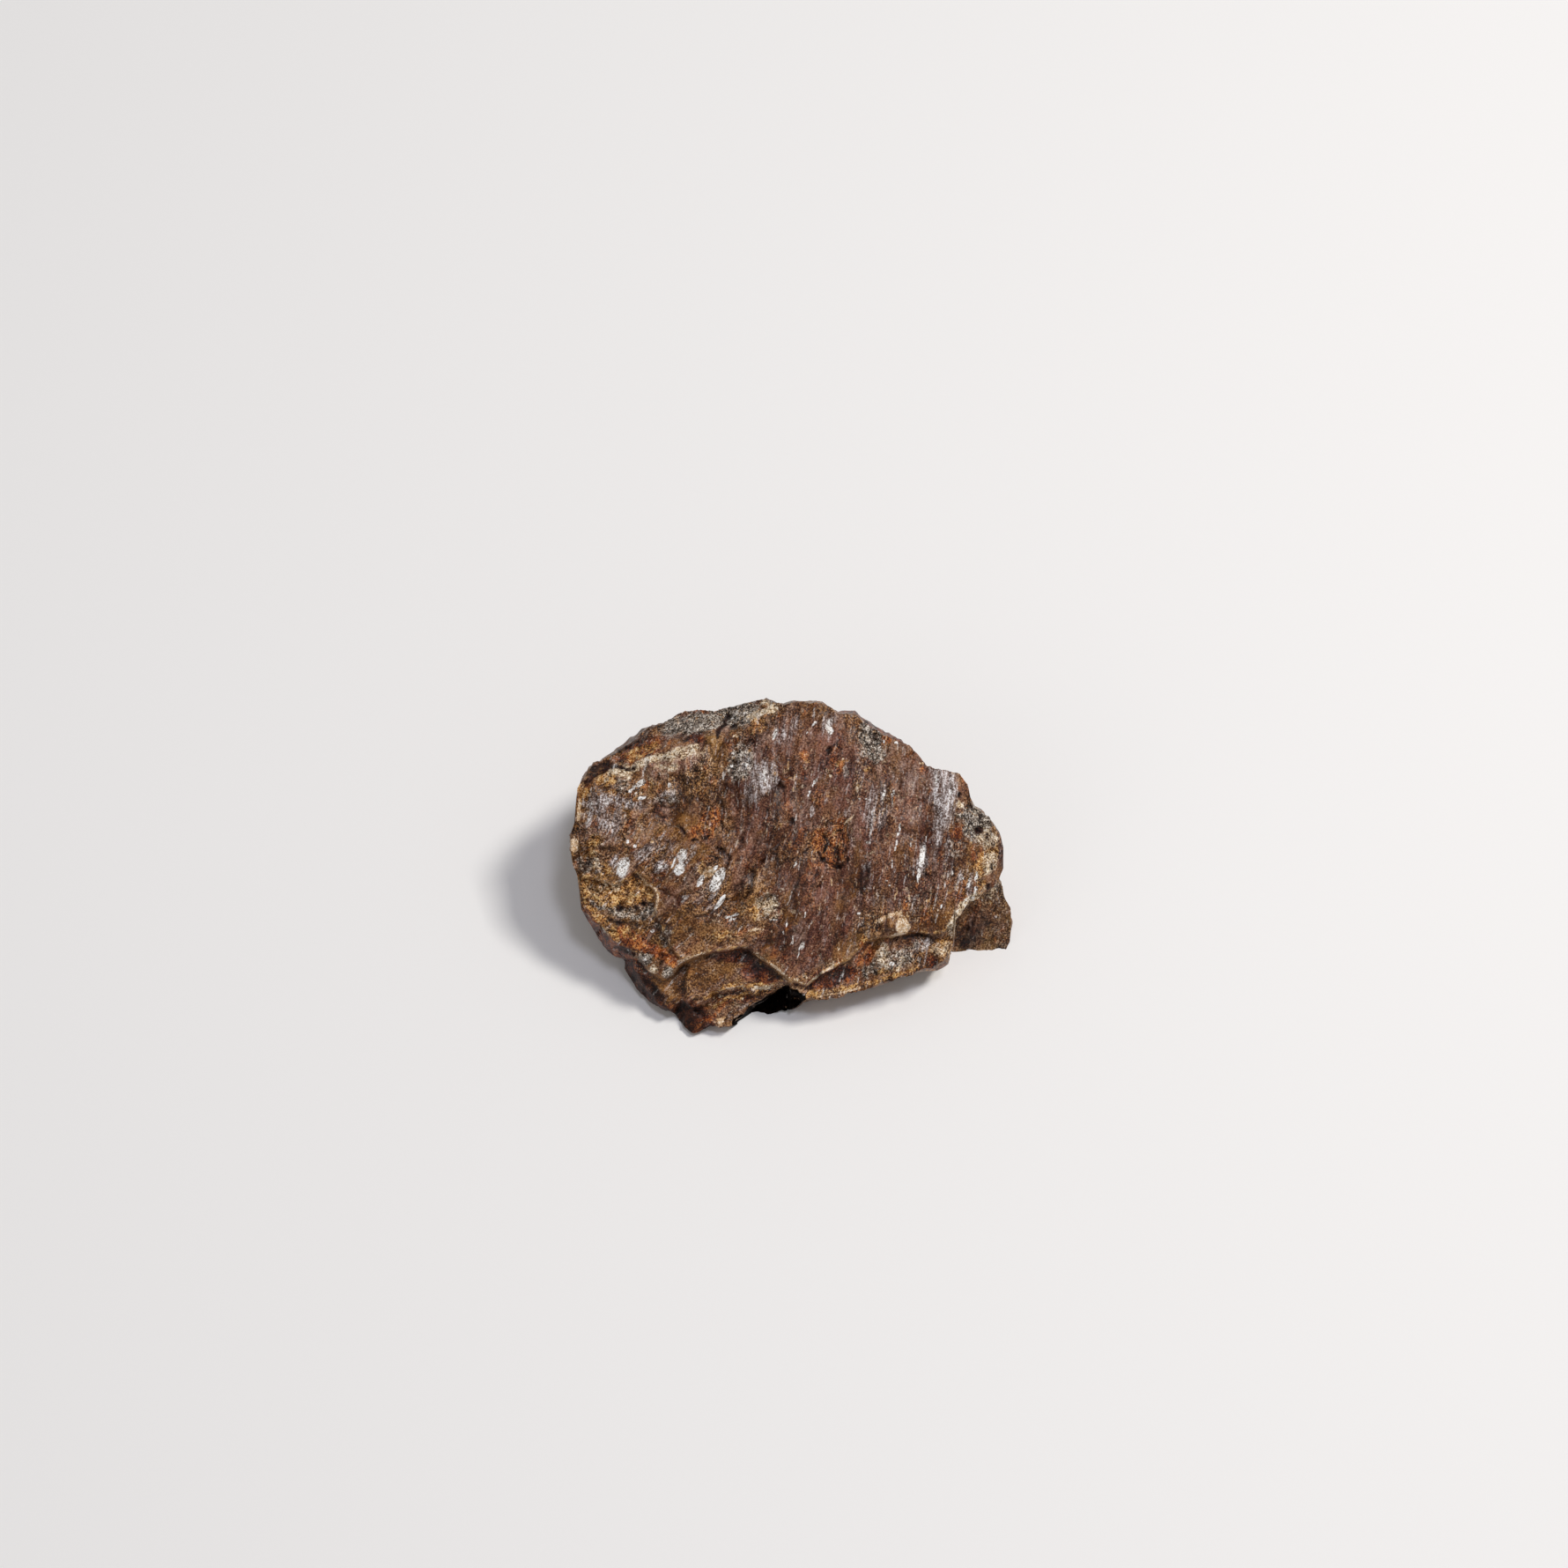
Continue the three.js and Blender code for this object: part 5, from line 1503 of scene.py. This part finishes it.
@dataclass(frozen=True)
class VeinRock:
    """Split vein rock: brown carbonate and quartz polished along a slip, with ore and rust.

    Slickensides give a silky streaked gloss along the striations, in part painted on as sheen and
    glints; broken ore a grey glitter of small grains, and limonite a dull earthy yellow to orange.
    """

    name: str = "slickensided_vein_rock"
    base: Stops = (
        (0.0, "#180a03"), (0.28, "#3a1f0b"), (0.5, "#5c3517"), (0.72, "#80562c"), (1.0, "#bd9164"),
    )
    base_roughness: float = 0.32
    ior: float = 1.6
    specular: float = 0.24  # half the usual gloss: the grain is too fine to mirror
    silk: Pattern = Pattern(0.2, 8.0, 2.0)
    blotch: Pattern = Pattern(1.8)
    blotch_share: float = 0.7
    specks: Pattern = Pattern(0.06, 1.0, 1.0, 17.0)  # coarser than real grit, so that they show
    contrast: float = 1.1  # of the specks where the stone is smooth
    more_contrast: float = 0.9  # where it is flaky
    # Painted shade in the hollows, and painted light on the ridges, by the hollow attribute.
    hollow_shade: float = -0.2
    fleck_size: float = 0.6  # of a layer's flecks, in its specks
    fleck_shift: float = 31.0
    fleck_specks: float = 0.7
    edge: float = 0.25  # half-width of a layer's edge, before its sharpness
    lines: Pattern = Pattern(0.14, 9.0)
    lines_strength: float = 0.6
    grit: Pattern = Pattern(0.12, detail=4.0)  # coarser than real grit, so that it shows
    bump_mm: float = 0.05
    bump_smooth: float = 0.25
    bump_flaky: float = 0.75
    flakes_to_mm: tuple[float, float, float] = (8.0, 3.0, 8.0)
    flake_tilt: float = 0.85
    layers: tuple[Layer, ...] = (
        # Wall rock: dull dark brown with pale crumbs.
        Layer(Stain.MATRIX, ((0, "#0e0804"), (0.35, "#382616"), (0.6, "#5e4730"), (1, "#b0967a")),
              0.5, 1, 6.0, 0.7, most=1.0),
        # Polished carbonate: tan, plum-brown and pale satin; the plum-brown also paints shade under
        # the plate's edge, and the pale also paints broad sheen.
        Layer(Stain.TAN, ((0, "#42250b"), (0.5, "#7d5121"), (1, "#b98b4c")),
              1.5, 2, 0.6, 0.4, octaves=3),
        Layer(Stain.PLUM_AND_SHADE, ((0, "#260e08"), (0.5, "#50291c"), (1, "#8b5d4c")),
              1.4, 3, 0.6, 0.34, octaves=3),
        Layer(Stain.PALE_AND_SHEEN, ((0, "#5c3c29"), (0.5, "#8e6552"), (1, "#c2a290")),
              0.6, 4, 0.8, 0.34, octaves=3),
        # Iron-stained spar: deep glossy amber, and liver brown that also paints shade at the tip
        # and down the lower left wall.
        Layer(Stain.AMBER, ((0, "#391c09"), (0.5, "#653e1a"), (1, "#9d6d3a")),
              1.4, 2, 1.0, 0.26, most=0.95, octaves=2),
        Layer(Stain.LIVER_AND_SHADE, ((0, "#110301"), (0.45, "#451808"), (0.7, "#703012"), (1, "#a86230")),
              0.6, 2, 1.2, 0.36, most=0.95, octaves=4),
        # Goethite: dull orange rust.
        Layer(Stain.RUST, ((0, "#301006"), (0.4, "#803f1a"), (0.7, "#b4622a"), (1, "#d89450")),
              0.4, 2, 1.2, 0.6, most=0.75, octaves=5),
        # Granular ore: grey glitter.
        Layer(Stain.METAL, ((0, "#171310"), (0.3, "#51453a"), (0.6, "#968575"), (1, "#e8dfd3")),
              0.2, 1, 1.1, 0.3, 0.2, most=0.9),
        # Limonite: earthy yellow. Weathered quartz: sandy grains.
        Layer(Stain.OCHRE, ((0, "#3a1f07"), (0.3, "#915822"), (0.6, "#c58a42"), (1, "#efcb90")),
              0.3, 1, 1.5, 0.7, octaves=5),
        Layer(Stain.SAND, ((0, "#523a22"), (0.3, "#b5916a"), (0.6, "#edd5b0"), (1, "#fff4e2")),
              0.26, 1, 1.1, 0.6, octaves=5),
        # Painted sheen: pale streaked patches on the cleavage. Cream edges.
        Layer(Stain.PAINTED_SHEEN, ((0, "#40302a"), (0.38, "#78655d"), (0.65, "#ac9f9b"), (1, "#f0ebec")),
              0.14, 7, 0.8, 0.26, most=0.8, octaves=4),
        Layer(Stain.CREAM, ((0, "#a87f52"), (0.5, "#d8b48a"), (1, "#f8ead6")),
              0.07, 4, 3.0, 0.4, most=0.9, octaves=3),
        # Cracks and smears, with painted shade at the tip and down the lower left wall: near black,
        # slightly shiny. Painted shadow in the hollow under the ledges: black, reflecting nothing.
        Layer(Stain.DARK_AND_SHADE, ((0, "#080201"), (0.5, "#260f08"), (1, "#4a2718")),
              0.3, 3, 0.8, 0.5, 0.3, most=0.95, octaves=4),
        Layer(Stain.PAINTED_SHADOW, ((0, "#020101"), (0.5, "#080504"), (1, "#1a100a")),
              0.4, 1, 2.0, 0.9, 1.0, most=1.0, octaves=3),
        # Painted highlights: near white, where small facets catch the light.
        Layer(Stain.PAINTED_GLINT, ((0, "#5a4a40"), (0.3, "#b3a9a0"), (0.55, "#efebe6"), (1, "#ffffff")),
              0.22, 5, 1.4, 0.2, most=0.95, octaves=4),
    )

    def build(self) -> bpy.types.Material:
        """Builds the material.

        Returns:
            The finished material.
        """
        material = bpy.data.materials.new(self.name)
        material.use_nodes = True
        tree = material.node_tree
        tree.nodes.clear()
        add = partial(add_node, tree)
        noise = partial(self.noise, tree)
        blend = {"operation": "MULTIPLY_ADD"}  # a share of one number, and all of another
        grain = add("Attribute", attribute_name="grain").outputs["Vector"]
        place = add("TexCoord").outputs["Object"]
        place = add("VectorMath", {0: place, "Scale": 1 / MM}, operation="SCALE").outputs[0]
        rugged = add("Attribute", attribute_name="rugged").outputs["Fac"]
        hollow = add("Attribute", attribute_name="hollow").outputs["Fac"]

        silk, blotch = noise(grain, self.silk), noise(place, self.blotch)
        tone = add("Mix", {0: self.blotch_share, 2: silk, 3: blotch}).outputs[0]
        speck = add("Math", {0: noise(place, self.specks), 1: MIDDLE}, operation="SUBTRACT")
        contrast = add("Math", {0: rugged, 1: self.more_contrast, 2: self.contrast}, **blend)
        speck = add("Math", {0: speck.outputs[0], 1: contrast.outputs[0]}, operation="MULTIPLY")
        # Painted shade in the hollows and painted light on the ridges.
        speck = add("Math", {0: hollow, 1: self.hollow_shade, 2: speck.outputs[0]}, **blend)
        speck = speck.outputs[0]
        tone = add("Math", {0: speck, 1: tone}, operation="ADD").outputs[0]
        colour = add("ValToRGB", {"Fac": tone}, self.base).outputs["Color"]
        rough: Socket | float = self.base_roughness
        metallic: Socket | float = 0.0
        for layer in self.layers:
            mask = add("Attribute", attribute_name=layer.stain.value).outputs["Fac"]
            vector = grain if layer.stretch > 1 else place
            lumps = Pattern(layer.speck_mm, layer.stretch, layer.octaves)
            fleck = replace(lumps, size_mm=self.fleck_size * lumps.size_mm, shift=self.fleck_shift)
            edge = self.edge / layer.sharp
            lift = add("Math", {0: mask, 1: layer.most, 2: noise(vector, lumps)}, **blend)
            over = add("MapRange", {0: lift.outputs[0], 1: 1 - edge, 2: 1 + edge}).outputs[0]
            fleck = add("Math", {0: speck, 1: self.fleck_specks, 2: noise(vector, fleck)}, **blend)
            shade = add("ValToRGB", {"Fac": fleck.outputs[0]}, layer.colours).outputs["Color"]
            colour = add("Mix", {0: over, 6: colour, 7: shade}, data_type="RGBA").outputs[2]
            rough = add("Mix", {0: over, 2: rough, 3: layer.roughness}).outputs[0]
            metallic = add("Mix", {0: over, 2: metallic, 3: layer.metallic}).outputs[0]

        shader = add_node(tree, "BsdfPrincipled", {
            "Base Color": colour, "Roughness": rough, "Metallic": metallic, "IOR": self.ior,
            "Specular IOR Level": self.specular, "Normal": self.relief(tree, grain, place, rugged),
        })
        add_node(tree, "OutputMaterial", {"Surface": shader.outputs[0]})
        return material

    @staticmethod
    def noise(tree: Tree, vector: Socket, pattern: Pattern) -> Socket:
        """Adds a noise pattern.

        Args:
            tree: the node tree.
            vector: coordinates in millimetres, the second one along the striations.
            pattern: the pattern.

        Returns:
            The pattern's output, from 0 to 1 and 0.5 on average.
        """
        size, shift = pattern.size_mm, pattern.shift
        mapping = add_node(tree, "Mapping", {
            "Vector": vector, "Location": (shift, shift, shift),
            "Scale": (1 / size, 1 / (size * pattern.stretch), 1 / size),
        })
        noise = add_node(tree, "TexNoise", {
            "Vector": mapping.outputs[0], "Scale": NOISE_SCALE, "Detail": pattern.detail,
            "Roughness": OCTAVE_SHARE,
        })
        low, high = NOISE_SPAN
        return add_node(tree, "MapRange", {0: noise.outputs["Fac"], 1: low, 2: high}).outputs[0]

    def relief(self, tree: Tree, grain: Socket, place: Socket, rugged: Socket) -> Socket:
        """Adds the relief that is finer than the mesh.

        Args:
            tree: the node tree.
            grain: coordinates along the striations.
            place: coordinates in the part's frame, in millimetres.
            rugged: how flaky the stone is.

        Returns:
            The bumped normal.
        """
        add = partial(add_node, tree)
        strength = add("Math", {0: rugged, 1: self.bump_flaky, 2: self.bump_smooth},
                       operation="MULTIPLY_ADD").outputs[0]
        streaked = add("Bump", {
            "Height": self.noise(tree, grain, self.lines), "Strength": self.lines_strength,
            "Distance": self.bump_mm * MM,
        })
        gritty = add("Bump", {
            "Height": self.noise(tree, place, self.grit), "Strength": strength,
            "Distance": self.bump_mm * MM, "Normal": streaked.outputs[0],
        })
        flake = add("Mapping", {"Vector": grain, "Scale": self.flakes_to_mm})
        tilt = add("TexVoronoi", {"Vector": flake.outputs[0], "Scale": 1.0}).outputs["Color"]
        tilt = add("VectorMath", {0: tilt, 1: (MIDDLE, MIDDLE, MIDDLE)}, operation="SUBTRACT")
        share = add("Math", {0: strength, 1: self.flake_tilt}, operation="MULTIPLY")
        tilt = add("VectorMath", {0: tilt.outputs[0], "Scale": share.outputs[0]}, operation="SCALE")
        turned = add("VectorMath", {0: gritty.outputs[0], 1: tilt.outputs[0]})
        return add("VectorMath", {0: turned.outputs[0]}, operation="NORMALIZE").outputs[0]


@dataclass(frozen=True)
class Paper:
    """Matt white paper: even, with no gloss."""

    colour: str = "#f1f0ef"
    roughness: float = 0.9

    def build(self) -> bpy.types.Material:
        """Builds the material."""
        material = bpy.data.materials.new("white_paper")
        material.use_nodes = True
        shader = material.node_tree.nodes["Principled BSDF"]
        shader.inputs["Base Color"].default_value = linear(self.colour)
        shader.inputs["Roughness"].default_value = self.roughness
        return material


# ---------------------------------------------------------------------------------------------
# The studio
# ---------------------------------------------------------------------------------------------


@dataclass(frozen=True)
class SoftLight:
    """A square soft box, placed by where it stands as seen from the split face."""

    name: str
    toward: tuple[float, float, float]
    distance: float
    size: float
    watts: float
    colour: str = "#ffffff"

    def build(self) -> bpy.types.Object:
        """Builds the light, aimed at the stone."""
        data = bpy.data.lights.new(self.name, "AREA")
        data.size = self.size
        data.energy = self.watts
        data.color = linear(self.colour)[:3]
        light = bpy.data.objects.new(self.name, data)
        direction = Vector(np.array(self.toward) @ FACE.axes()).normalized()
        light.location = Vector(FACE.middle) * MM + direction * self.distance
        light.rotation_euler = direction.to_track_quat("Z", "Y").to_euler()
        bpy.context.scene.collection.objects.link(light)
        return light


@dataclass
class Studio:
    """Floor, lights, surroundings and camera."""

    floor_size: float = 3.0
    view_width_mm: float = 109.9  # at the stone
    view_angle_deg: float = 25.0
    aim: tuple[float, float] = (-0.41, 5.76)
    room: str = "#f4f4f6"
    surroundings: float = 0.3
    lights: tuple[SoftLight, ...] = (
        SoftLight("key", (0.62, 0.62, 0.8), 0.55, 0.11, 1.85, "#fffcf6"),
        SoftLight("window", (0.2, 0.42, 1.0), 0.6, 0.09, 0.7, "#eef0ff"),
        SoftLight("fill", (-0.9, -0.2, 0.8), 0.8, 0.5, 0.4, "#fff4ea"),
    )

    def build(self) -> None:
        """Builds everything around the stone."""
        self.floor()
        for light in self.lights:
            light.build()
        world = bpy.data.worlds.new("pale_room")
        world.use_nodes = True
        background = world.node_tree.nodes["Background"]
        background.inputs["Color"].default_value = linear(self.room)
        background.inputs["Strength"].default_value = self.surroundings
        bpy.context.scene.world = world
        bpy.context.scene.view_settings.view_transform = "Standard"
        self.camera()

    def floor(self) -> None:
        """Lays the floor that the stone rests on."""
        half = self.floor_size / 2
        mesh = bpy.data.meshes.new("floor")
        corners = [(-half, -half, 0), (half, -half, 0), (half, half, 0), (-half, half, 0)]
        mesh.from_pydata(corners, [], [(0, 1, 2, 3)])
        mesh.materials.append(Paper().build())
        floor = bpy.data.objects.new("floor", mesh)
        bpy.context.scene.collection.objects.link(floor)

    def camera(self) -> None:
        """Sets the camera straight above the split face."""
        data = bpy.data.cameras.new("camera")
        half = math.radians(self.view_angle_deg) / 2
        data.lens = data.sensor_width / 2 / math.tan(half)
        distance = self.view_width_mm / 2 / math.tan(half)
        u, v, w = FACE.axes()
        camera = bpy.data.objects.new("camera", data)
        aim = FACE.to_part(np.array([*self.aim, 0.0]))
        camera.matrix_world = Matrix.Translation(Vector(aim + w * distance) * MM) @ Matrix(
            (u, v, w)
        ).transposed().to_4x4()
        bpy.context.scene.collection.objects.link(camera)
        bpy.context.scene.camera = camera


def main() -> None:
    """Builds the stone and the studio."""
    logging.basicConfig(level=logging.INFO)
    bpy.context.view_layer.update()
    stone = Stone().build()
    stone.data.materials.append(VeinRock().build())
    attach(stone, "root")
    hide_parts(STONE_NODE)
    LOG.info("stone: %d faces", len(stone.data.polygons))
    Studio().build()


if __name__ == "__main__":
    main()
